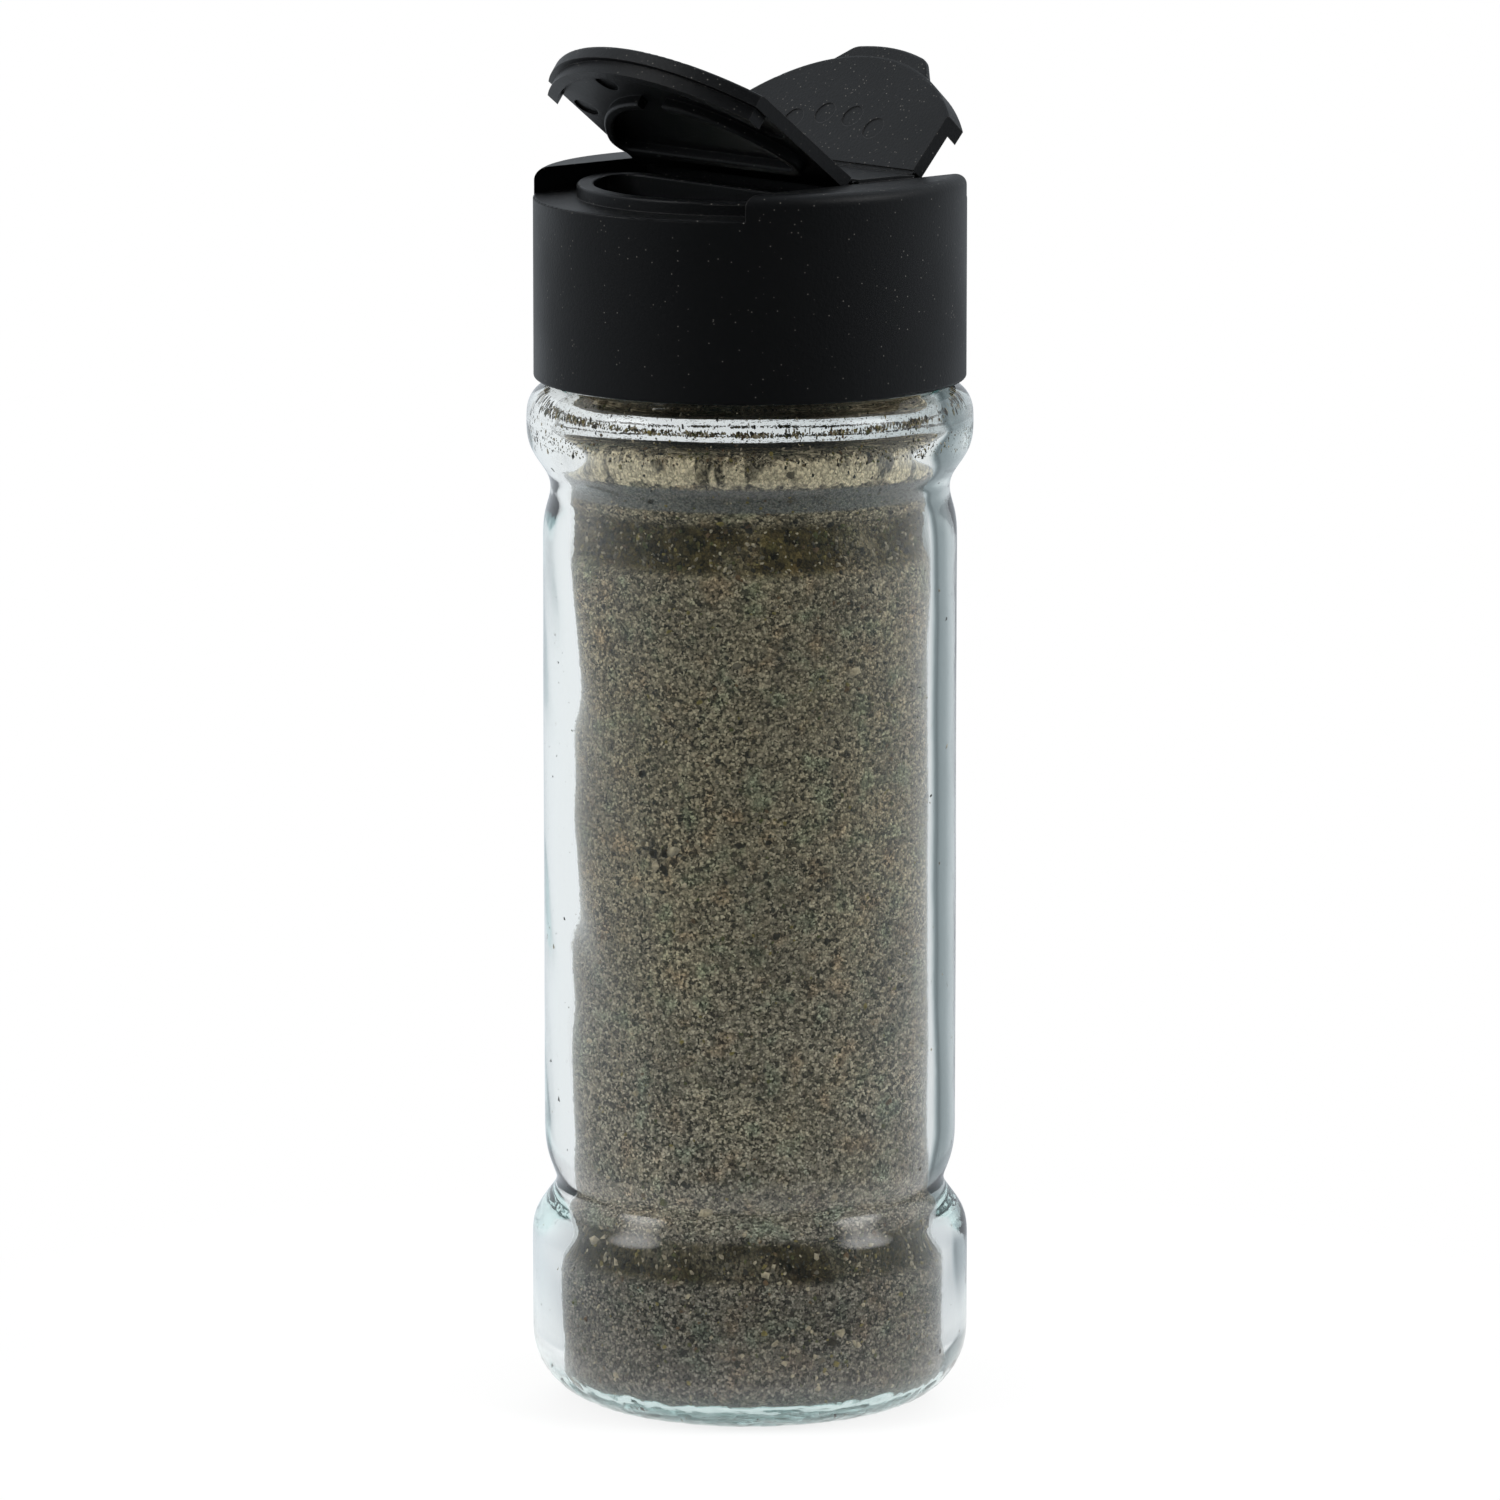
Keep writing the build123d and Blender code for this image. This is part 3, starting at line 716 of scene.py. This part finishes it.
def black_plastic(settings, name="black_plastic", gloss=0.0):
    """Black moulded polypropylene: fine satin grain, soft edges that catch the light, edges lightened to grey
    by a little wear and a painted highlight, and a little pepper dust on the edges and on what faces up.
    gloss smooths it, for the bent webs."""
    material, tree, place = new_material(name)
    grain = clouds(tree, place, 0.45 / settings.grain_size, 2.0, 0.7)
    rough = 0.40 - 0.16 * gloss
    roughness = remapped(tree, clouds(tree, place, 90.0, 3.0), 0.3, 0.7, rough, rough + 0.1)
    soft_edge = node(tree, "Bevel", {"samples": 4}, Radius=settings.edge_softness).outputs[0]
    relief = bump(tree, grain, 0.45 - 0.35 * gloss, 0.06 * MILLIMETRE, soft_edge)

    # Where edges are, and what faces up
    normal = node(tree, "NewGeometry").outputs["Normal"]
    edge = vector_maths(tree, "DOT_PRODUCT", normal, soft_edge, output="Value")
    edge = remapped(tree, edge, 0.995, 0.93)
    upward = remapped(tree, node(tree, "SeparateXYZ", Vector=normal).outputs["Z"], 0.2, 0.9)

    # Specks of dust, more of them there
    specks = node(tree, "TexVoronoi", Vector=place, Scale=3500.0, Randomness=1.0)
    speck = remapped(tree, specks.outputs["Distance"], 0.30, 0.12)
    rare = node(tree, "SeparateColor", Color=specks.outputs["Color"]).outputs[0]
    spread = arithmetic(tree, "MULTIPLY", clouds(tree, place, 220.0, 3.0), 1.6)
    likely = arithmetic(tree, "MULTIPLY_ADD", upward, 0.14, 0.05)
    likely = arithmetic(tree, "MULTIPLY_ADD", edge, 0.5, likely)
    likely = arithmetic(tree, "MULTIPLY", likely, spread)
    dusty = arithmetic(tree, "MULTIPLY", arithmetic(tree, "LESS_THAN", rare, likely), speck, clamp=True)
    dusty = arithmetic(tree, "MULTIPLY", dusty, 0.55)
    # Edges lightened to grey: a little wear, and a painted highlight where the edges catch the light
    edge_wear_and_highlight = arithmetic(tree, "MULTIPLY", edge, 0.35)
    worn_and_highlit_colour = blended(tree, edge_wear_and_highlight, full(settings.colour), (0.05, 0.05, 0.048, 1.0))
    colour = blended(tree, dusty, worn_and_highlit_colour, full(settings.dust_colour))
    plastic = principled(tree, colour, roughness, relief, IOR=PLASTIC_IOR, Specular_IOR_Level=0.35)
    return finished(material, plastic)


def floor_white(settings):
    """Pale floor that reads as the white background and keeps a soft shadow near the jar. Further out, matt
    and glossy rays see it with the levels of the room, and rays through glass with those of the panels."""
    material, tree, place = new_material("floor_white")
    pale = ramp(tree, clouds(tree, place, 3.0, 2.0), (0.0, 0.80), (1.0, 0.84))
    room = room_ring(tree, place, settings)
    distance = vector_maths(tree, "LENGTH", place, output="Value")
    path = node(tree, "LightPath").outputs
    outside = remapped(tree, distance, *FLOOR_DIMS)
    outside = blended(tree, path["Is Glossy Ray"], outside, remapped(tree, distance, *FLOOR_DIMS_IN_GLOSS))
    matt = node(tree, "BsdfDiffuse", Color=blended(tree, outside, pale, multiplied(tree, pale, room)))
    glow_colour = blended(tree, outside, WHITE, blended(tree, path["Is Camera Ray"], room, WHITE))
    in_glass = remapped(tree, distance, *FLOOR_DIMS_IN_GLASS)
    in_glass = arithmetic(tree, "MULTIPLY", path["Is Transmission Ray"], in_glass)
    glow_colour = blended(tree, in_glass, glow_colour, panel_ring(tree, place, settings))
    glow = node(tree, "Emission", Color=glow_colour, Strength=1.0)
    seen = arithmetic(tree, "MAXIMUM", path["Is Camera Ray"], path["Is Transmission Ray"])
    seen = arithmetic(tree, "MAXIMUM", seen, path["Is Glossy Ray"])
    share = arithmetic(tree, "MULTIPLY", seen, remapped(tree, distance, *FLOOR_SHADOW, 0.78, 1.0))
    mixed = node(tree, "MixShader", Fac=share, i1=matt.outputs[0], i2=glow.outputs[0])
    return finished(material, mixed.outputs[0])


def studio_ring(tree, way, settings, stops):
    """A colour ramp round the jar: way is a direction or a place on the floor, and each stop is an angle in
    degrees to the right of the camera's line of sight, and a level."""
    forward = Vector((-math.sin(settings.camera_turn), math.cos(settings.camera_turn), 0.0))
    rightward = Vector((forward.y, -forward.x, 0.0))
    ahead = vector_maths(tree, "DOT_PRODUCT", way, tuple(forward), output="Value")
    beside = vector_maths(tree, "DOT_PRODUCT", way, tuple(rightward), output="Value")
    azimuth = arithmetic(tree, "ARCTAN2", beside, ahead)
    turn = arithmetic(tree, "MULTIPLY_ADD", azimuth, 1.0 / FULL_TURN, 0.5)
    return ramp(tree, turn, *[(angle / 360.0 + 0.5, level) for angle, level in stops])


def studio_way(settings, turn, rise):
    """The direction from the jar to a place in the studio, in degrees round from the camera and up."""
    azimuth = settings.camera_turn + math.radians(turn)
    lift = math.radians(rise)
    return Vector((math.sin(azimuth) * math.cos(lift), -math.cos(azimuth) * math.cos(lift), math.sin(lift)))


def panel_ring(tree, way, settings):
    """White panels with grey gaps, as clear glass shows them along its sides, the darker the bluer."""
    ring = studio_ring(tree, way, settings, PANEL_STOPS)
    cast = ramp(tree, ring, (0.1, (0.76, 0.95, 1.0)), (0.85, (0.98, 0.988, 1.0)))
    return multiplied(tree, ring, cast)


def room_ring(tree, way, settings):
    """Dark on the camera's side, brighter to both sides and beyond the jar, as the room is."""
    ring = studio_ring(tree, way, settings, ROOM_STOPS)
    return multiplied(tree, ring, (0.93, 1.0, 1.07, 1.0))


# Pieces

def glass_line(settings):
    """The even section line of the glass, and which of its points are inside."""
    line = even_line(cad_section("glass_jar"), settings.line_step)
    return line, np.arange(len(line)) > int(np.argmax(line[:, 1]))


def inside_waves(heights, segments, settings):
    """How far the inside of the glass stands off its section, by height, as the pepper against it does too.
    It wanders most on one side, and the straight body's inside is wider, most of all on the thin side."""
    slow = waves(heights, segments, SEEDS["inside_slow"], (1, 4), (0.03, 0.09))
    quick = waves(heights, segments, SEEDS["inside_quick"], (5, 14), (0.010, 0.035))
    angles = ring_angles(segments)[None, :]
    uneven = 0.12 + 0.88 * (0.5 + 0.5 * np.cos(angles - WAVY_SIDE)) ** 2
    wander = settings.inner_waviness * uneven * (0.8 * slow + 0.2 * quick)
    body = between(heights, *STRAIGHT_BODY)[:, None]
    return wander - body * (settings.inner_growth + settings.inner_lean * np.cos(angles - THIN_SIDE))


class SPICE_JAR_OT_glass(Operator):
    """Turn the glass jar from the section of its CAD node, with the slight unevenness of moulded glass"""

    bl_idname = "spice_jar.glass"
    bl_label = "Glass jar"

    def execute(self, context):
        settings = context.scene.spice_jar.glass
        line, inside = glass_line(settings)
        radii, heights = line.T
        count = settings.segments
        neck = between(heights, NECK_SHARE * heights.max(), math.inf, NECK_EASE)[:, None]
        inner = inside_waves(heights, count, settings) * inside[:, None]
        outer = waves(line_distances(line), count, SEEDS["outside"], (2, 12), (0.01, 0.06))
        outer = outer * settings.outer_waviness * ~inside[:, None]
        offsets = (inner + outer) * (1.0 - neck) * off_axis(radii, POLE_RADIUS)
        self.ripple_base(settings, line, offsets)
        points = turned_points(line, offsets)
        points[:, :, 2] = np.maximum(points[:, :, 2], cad_low.z)
        piece = turned_piece("jar_glass", points, clear_glass(settings))
        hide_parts("glass_jar")
        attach(piece, "jar")
        return {"FINISHED"}

    def ripple_base(self, settings, line, offsets):
        """Presses chill marks into both faces of the thick base, strongest underneath."""
        angles = ring_angles(offsets.shape[1])
        strengths = settings.base_ripple * between(line[:, 1], *RIPPLED_BASE)
        for row in np.nonzero((strengths > 0.0) & (line[:, 0] > 2.0 * MILLIMETRE))[0]:
            radius, height = line[row]
            for column, angle in enumerate(angles):
                place = Vector((radius * math.cos(angle), radius * math.sin(angle), height))
                ripple = abs(noise.fractal(place * RIPPLE_FREQUENCY, *RIPPLE_FRACTAL))
                offsets[row, column] -= strengths[row] * ripple


def pepper_bands():
    """Each band of the pepper as its lowest and highest height and its ease, from the two narrowest rings of
    the glass: the waist under the bulge and the groove over the foot."""
    line = cad_section("glass_jar")
    rim = line[:, 1].max()
    outside = line[: int(np.argmax(line[:, 1]))]
    rings = {}
    for name, low, high in (("waist", 0.70, 0.83), ("groove", 0.12, 0.25)):
        part = outside[(outside[:, 1] > low * rim) & (outside[:, 1] < high * rim)]
        rings[name] = float(part[np.argmin(part[:, 0]), 1])
    return {
        name: (rings[ring] + low, rings[ring] + high, ease)
        for name, (ring, (low, high, ease)) in PEPPER_BANDS.items()
    }


def hollow_shares(heights, bands):
    """How far the pepper has sunk from the glass at each height, from 0 to 1."""
    return sum(between(heights, *bands[name][:2], ease) for name, ease in HOLLOW_EASES.items())


class SPICE_JAR_OT_pepper(Operator):
    """Turn the body of ground pepper, strew flakes over it and stick grains to the glass"""

    bl_idname = "spice_jar.pepper"
    bl_label = "Ground pepper"

    def execute(self, context):
        settings = context.scene.spice_jar.pepper
        glass = context.scene.spice_jar.glass
        bands = pepper_bands()
        line = even_line(cad_section("ground_pepper"), settings.line_step, rounds=3)
        radii, heights = line.T
        chance = np.random.default_rng(SEEDS["pepper"])
        points = turned_points(line, self.body_offsets(settings, glass, line, bands, chance))
        piece = turned_piece("pepper_body", points, ground_pepper(settings, bands))
        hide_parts("ground_pepper")
        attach(piece, "jar")
        husk = pepper_flakes(settings)
        rows = np.nonzero(radii > PEPPER_WALL_RADIUS)[0]
        weight = WALL_FLAKES + HOLLOW_FLAKES * hollow_shares(heights[rows], bands)
        weight += FOOT_FLAKES * between(heights[rows], *FOOT_BAND)
        centres = self.strewn("pepper_flakes", points, rows, weight, settings.flake_count, chance)
        self.flake_mesh("pepper_flakes", centres, settings.flake_size, husk, chance)
        centres = self.coarse_groups(points, heights, rows, settings.line_step, chance)
        self.flake_mesh("coarse_flakes", centres, settings.coarse_size, husk, chance)
        self.stick_grains(settings, glass, heights.max(), husk, chance)
        return {"FINISHED"}

    def body_offsets(self, settings, glass, line, bands, chance):
        """How far the pepper stands off its section: it follows the inside of the glass, sinks in the
        hollows, bristles with grains and lies in low dunes on top."""
        radii, heights = line.T
        count = settings.segments
        fade = off_axis(radii, POLE_RADIUS)
        ragged = waves(heights, count, SEEDS["hollows"], (5, 40), (0.003, 0.012))
        ragged = 0.5 + 0.5 * np.clip(ragged + 0.35, -1.0, 1.0)
        hollow = hollow_shares(heights, bands)[:, None] * ragged * settings.hollow_depth
        grains = chance.uniform(-1.0, 0.35, (len(line), count)) * settings.grain_relief
        on_top = between(heights, heights.max() - TOP_DEPTH, math.inf, TOP_EASE)[:, None]
        dunes = waves(radii, count, SEEDS["dunes"], (1, 9), (0.008, 0.03)) * off_axis(radii, DUNE_RADIUS)
        wall = -inside_waves(heights, count, glass)
        offsets = wall * fade - hollow + np.where(fade > 0.9, grains, 0.0)
        return offsets + on_top * dunes * DUNE_HEIGHT

    def stick_grains(self, settings, glass, fill_height, husk, chance):
        """Single grains that stick to the inside of the glass over the fill line, and a few down the wall."""
        line, inside = glass_line(glass)
        points = turned_points(line, inside_waves(line[:, 1], glass.segments, glass) * inside[:, None])
        over = line[:, 1] - fill_height
        in_bulge = (over > STUCK_LOW) & (over < STUCK_HIGH) & (line[:, 0] > BULGE_RADIUS)
        rows = np.nonzero(inside & in_bulge)[0]
        weight = np.exp(-np.clip(over[rows], 0.0, None) / STUCK_FADE) + STUCK_LEAST
        weight += TIDE_GRAINS * between(over[rows], *TIDE_LINE)
        centres = self.strewn("stuck_grains", points, rows, weight, settings.stuck_count, chance)
        self.flake_mesh("stuck_grains", centres, settings.stuck_size, husk, chance)
        rows = np.nonzero(inside & (line[:, 1] > WALL_GRAINS_LOW) & (over < STUCK_LOW))[0]
        few = max(1, settings.stuck_count // WALL_GRAINS_PART)
        centres = self.strewn("wall_grains", points, rows, np.ones(len(rows)), few, chance)
        self.flake_mesh("wall_grains", centres, settings.stuck_size, husk, chance)

    def strewn(self, name, points, rows, weight, count, chance):
        """Places on a turned surface, on rings drawn by weight and in patches along them."""
        segments = points.shape[1]
        patches = waves(points[rows, 0, 2], segments, SEEDS[name], (2, 30), (0.004, 0.03))
        share = weight[:, None] * np.clip(0.5 + 0.6 * patches, 0.05, None)
        drawn = chance.choice(share.size, count, p=(share / share.sum()).ravel())
        centres = []
        for row, column in zip(rows[drawn // segments], drawn % segments):
            corner = Vector(points[row, column])
            beside = Vector(points[row, (column + 1) % segments]) - corner
            above = Vector(points[min(row + 1, len(points) - 1), column]) - corner
            centres.append(corner + beside * chance.uniform() + above * chance.uniform())
        return centres

    def coarse_groups(self, points, heights, rows, step, chance):
        """The places of the coarse flakes that lie together at a few spots against the glass."""
        segments = points.shape[1]
        centres = []
        for turn, (height, spread), count in FLAKE_GROUPS:
            middle = int(np.argmin(np.abs(heights[rows] - height)))
            for _ in range(count):
                near = middle + chance.normal(0.0, 0.6 * spread) / step
                row = rows[int(np.clip(near, 0, len(rows) - 1))]
                radius = math.hypot(*points[row, 0, :2])
                angle = math.radians(turn) + chance.normal(0.0, spread) / radius
                centres.append(Vector(points[row, int(angle / FULL_TURN * segments) % segments]))
        return centres

    def flake_mesh(self, name, centres, size, husk, chance):
        """Loose flakes round their centres, each leaning a little, as one mesh."""
        verts, faces = [], []
        for centre in centres:
            outward = Vector((centre.x, centre.y, 0.0)).normalized()
            width = min(size * float(chance.lognormal(0.0, FLAKE_SPREAD)), FLAKE_LARGEST * size)
            lean = Vector(chance.normal(0.0, FLAKE_LEAN, 3).tolist())
            facing = (outward + lean).normalized()
            spin = Matrix.Rotation(float(chance.uniform(0.0, FULL_TURN)), 3, facing)
            side = spin @ facing.orthogonal().normalized()
            across = facing.cross(side)
            corners = int(chance.integers(4, 7))
            stretch = float(chance.uniform(0.5, 1.0))
            base = len(verts)
            for corner in range(corners):
                turn = FULL_TURN * (corner + chance.uniform(-0.25, 0.25)) / corners
                reach = 0.5 * width * chance.uniform(0.7, 1.0)
                along = side * math.cos(turn) * reach
                verts.append(centre + along + across * math.sin(turn) * reach * stretch)
                beside = base + (corner + 1) % corners
                faces.append((base + corner, beside, base + corners))
                faces.append((beside, base + corner, base + corners + 1))
            thickness = FLAKE_THICKNESS * width
            verts += [centre + facing * thickness, centre - facing * thickness]
        piece = mesh_piece(name, [tuple(vert) for vert in verts], faces, husk, smooth=False)
        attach(piece, "jar")


class SPICE_JAR_OT_cap(Operator):
    """Give the cap and both flaps their black satin plastic"""

    bl_idname = "spice_jar.cap"
    bl_label = "Cap and flaps"

    def execute(self, context):
        material = black_plastic(context.scene.spice_jar.plastic)
        for name in ("cap", "pour_flap", "sprinkle_flap"):
            for slot in frame["nodes"][name].material_slots:
                slot.material = material
        return {"FINISHED"}


class SPICE_JAR_OT_hinges(Operator):
    """Bend a thin web from the cap to each flap along its hinge line"""

    bl_idname = "spice_jar.hinges"
    bl_label = "Living hinges"

    def execute(self, context):
        material = black_plastic(context.scene.spice_jar.plastic, "hinge_web", gloss=1.0)
        for joint in frame["joints"]:
            if joint["type"] == "hinge":
                self.add_web(context.scene.spice_jar.hinge, material, joint)
        return {"FINISHED"}

    def add_web(self, settings, material, joint):
        """A strip that follows the cap's web, bends about the hinge line and runs on along the flap's web."""
        flap = joint["child"]
        pivot = Vector(joint["pos_m"])
        low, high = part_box(flap)
        outward = -1.0 if low.x + high.x < 2.0 * pivot.x else 1.0
        opened = abs(math.radians(joint["range_deg"][0]))
        along_cap = Vector((-outward, 0.0, 0.0))
        along_flap = Vector((outward * math.cos(opened), 0.0, math.sin(opened)))
        up_cap = Vector((0.0, 0.0, 1.0))
        up_flap = Vector((-outward * math.sin(opened), 0.0, math.cos(opened)))
        half_width = 0.5 * (high.y - low.y)
        reach, half_thickness = settings.web_reach, 0.5 * settings.web_thickness
        top, bottom = [], []
        for share in np.linspace(-1.0, 1.0, WEB_ROWS):
            ease = 0.5 + 0.5 * math.sin(0.5 * math.pi * float(share))
            middle = pivot + (along_cap if share < 0 else along_flap) * reach * share * share
            up = (up_cap * (1.0 - ease) + up_flap * ease).normalized()
            thin = half_thickness * (WEB_THINNEST + (1.0 - WEB_THINNEST) * abs(share))
            top.append(middle + up * thin)
            bottom.append(middle - up * thin)
        outline = top + bottom[::-1]
        verts, faces = [], []
        for step in range(WEB_STEPS + 1):
            shift = Vector((0.0, -half_width + 2.0 * half_width * step / WEB_STEPS, 0.0))
            verts += [tuple(place + shift) for place in outline]
        ring = len(outline)
        for step in range(WEB_STEPS):
            near, far = step * ring, (step + 1) * ring
            for place in range(ring):
                beside = (place + 1) % ring
                faces.append((near + place, near + beside, far + beside, far + place))
        faces.append(tuple(range(ring)))
        faces.append(tuple(reversed(range(WEB_STEPS * ring, (WEB_STEPS + 1) * ring))))
        piece = mesh_piece(f"{flap}_web", verts, faces, material)
        fix = bmesh.new()
        fix.from_mesh(piece.data)
        bmesh.ops.recalc_face_normals(fix, faces=fix.faces)
        fix.to_mesh(piece.data)
        fix.free()
        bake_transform(piece)


class SPICE_JAR_OT_stage(Operator):
    """Set the floor, the white surroundings, the softboxes and the camera"""

    bl_idname = "spice_jar.stage"
    bl_label = "Stage"

    def execute(self, context):
        settings = context.scene.spice_jar.stage
        self.add_floor(settings)
        self.add_world(context.scene, settings)
        self.add_lamps(settings)
        self.add_camera(context.scene, settings)
        context.scene.view_settings.view_transform = "Standard"
        context.scene.cycles.max_bounces = settings.glass_bounces
        context.scene.cycles.transmission_bounces = settings.glass_bounces
        context.scene.cycles.glossy_bounces = settings.glass_bounces
        return {"FINISHED"}

    def add_floor(self, settings):
        """A wide round floor whose rim lies far out of sight."""
        rim = [(FLOOR_RADIUS * math.cos(a), FLOOR_RADIUS * math.sin(a), 0.0) for a in ring_angles(96)]
        piece = mesh_piece("floor", rim, [range(len(rim))], floor_white(settings), smooth=False)

    def add_world(self, scene, settings):
        """White to the camera. Glass sees a ring of white panels with grey gaps, gloss sees the room with two
        soft patches where the softboxes are, and matt surfaces get even light."""
        world = bpy.data.worlds.new("studio")
        scene.world = world
        world.use_nodes = True
        world.cycles.sampling_method = "NONE"
        tree = world.node_tree
        tree.nodes.clear()
        toward = node(tree, "TexCoord").outputs["Generated"]
        sheen = room_ring(tree, toward, settings)
        edge, core, level = SOFTBOX_GLOSS
        for turn in (-SOFTBOX_TURN, SOFTBOX_TURN):
            patch = tuple(studio_way(settings, turn, SOFTBOX_RISE))
            facing = vector_maths(tree, "DOT_PRODUCT", toward, patch, output="Value")
            sheen = blended(tree, 1.0, sheen, remapped(tree, facing, edge, core, 0.0, level), "ADD")
        path = node(tree, "LightPath").outputs
        light = blended(tree, path["Is Glossy Ray"], full(settings.ambient), sheen)
        light = blended(tree, path["Is Transmission Ray"], light, panel_ring(tree, toward, settings))
        light = blended(tree, path["Is Camera Ray"], light, WHITE)
        background = node(tree, "Background", Color=light, Strength=1.0)
        node(tree, "OutputWorld", Surface=background.outputs[0])

    def add_lamps(self, settings):
        """Two large softboxes above and to the sides of the camera's line, and one weaker lamp behind."""
        for name, (turn, rise, distance, share) in LAMPS.items():
            way = studio_way(settings, turn, rise)
            lamp = bpy.data.lights.new(name, "AREA")
            lamp.shape = "SQUARE"
            lamp.size = LAMP_SIZE
            lamp.energy = share * settings.lamp_power
            lamp.color = (1.0, 0.995, 0.985)
            holder = bpy.data.objects.new(name, lamp)
            holder.location = LAMP_AIM + way * distance
            holder.rotation_euler = way.to_track_quat("Z", "Y").to_euler()
            holder.visible_glossy = False
            holder.visible_transmission = False
            bpy.context.scene.collection.objects.link(holder)

    def add_camera(self, scene, settings):
        """The camera at the photograph's angle, with its long lens."""
        camera = bpy.data.cameras.new("camera")
        camera.lens = settings.camera_lens
        camera.sensor_width = 36.0
        camera.clip_start = 0.05
        camera.clip_end = 60.0
        holder = bpy.data.objects.new("camera", camera)
        away = Vector((math.sin(settings.camera_turn), -math.cos(settings.camera_turn), 0.0))
        holder.location = away * settings.camera_distance + Vector((0.0, 0.0, settings.camera_height))
        holder.rotation_euler = (0.5 * math.pi - settings.camera_dip, 0.0, settings.camera_turn)
        bpy.context.scene.collection.objects.link(holder)
        scene.camera = holder


class SPICE_JAR_PT_panel(Panel):
    """Sidebar panel with one button for each group of pieces and its settings"""

    bl_idname = "SPICE_JAR_PT_panel"
    bl_label = "Spice Jar"
    bl_space_type = "VIEW_3D"
    bl_region_type = "UI"
    bl_category = "Spice Jar"

    def draw(self, context):
        settings = context.scene.spice_jar
        for operator, group in (
            (SPICE_JAR_OT_glass, settings.glass),
            (SPICE_JAR_OT_pepper, settings.pepper),
            (SPICE_JAR_OT_cap, settings.plastic),
            (SPICE_JAR_OT_hinges, settings.hinge),
            (SPICE_JAR_OT_stage, settings.stage),
        ):
            box = self.layout.box()
            box.operator(operator.bl_idname)
            for name in group.bl_rna.properties.keys():
                if name not in ("rna_type", "name"):
                    box.prop(group, name)


CLASSES = (
    GlassSettings,
    PepperSettings,
    PlasticSettings,
    HingeSettings,
    StageSettings,
    SpiceJarSettings,
    SPICE_JAR_OT_glass,
    SPICE_JAR_OT_pepper,
    SPICE_JAR_OT_cap,
    SPICE_JAR_OT_hinges,
    SPICE_JAR_OT_stage,
    SPICE_JAR_PT_panel,
)


def register():
    """Registers the classes and the scene's settings."""
    for item in CLASSES:
        bpy.utils.register_class(item)
    bpy.types.Scene.spice_jar = PointerProperty(type=SpiceJarSettings)


def unregister():
    """Takes the scene's settings and the classes away again."""
    del bpy.types.Scene.spice_jar
    for item in reversed(CLASSES):
        bpy.utils.unregister_class(item)


def main():
    register()
    bpy.ops.spice_jar.glass()
    bpy.ops.spice_jar.pepper()
    bpy.ops.spice_jar.cap()
    bpy.ops.spice_jar.hinges()
    bpy.ops.spice_jar.stage()
    bpy.context.view_layer.update()


if __name__ == "__main__":
    main()
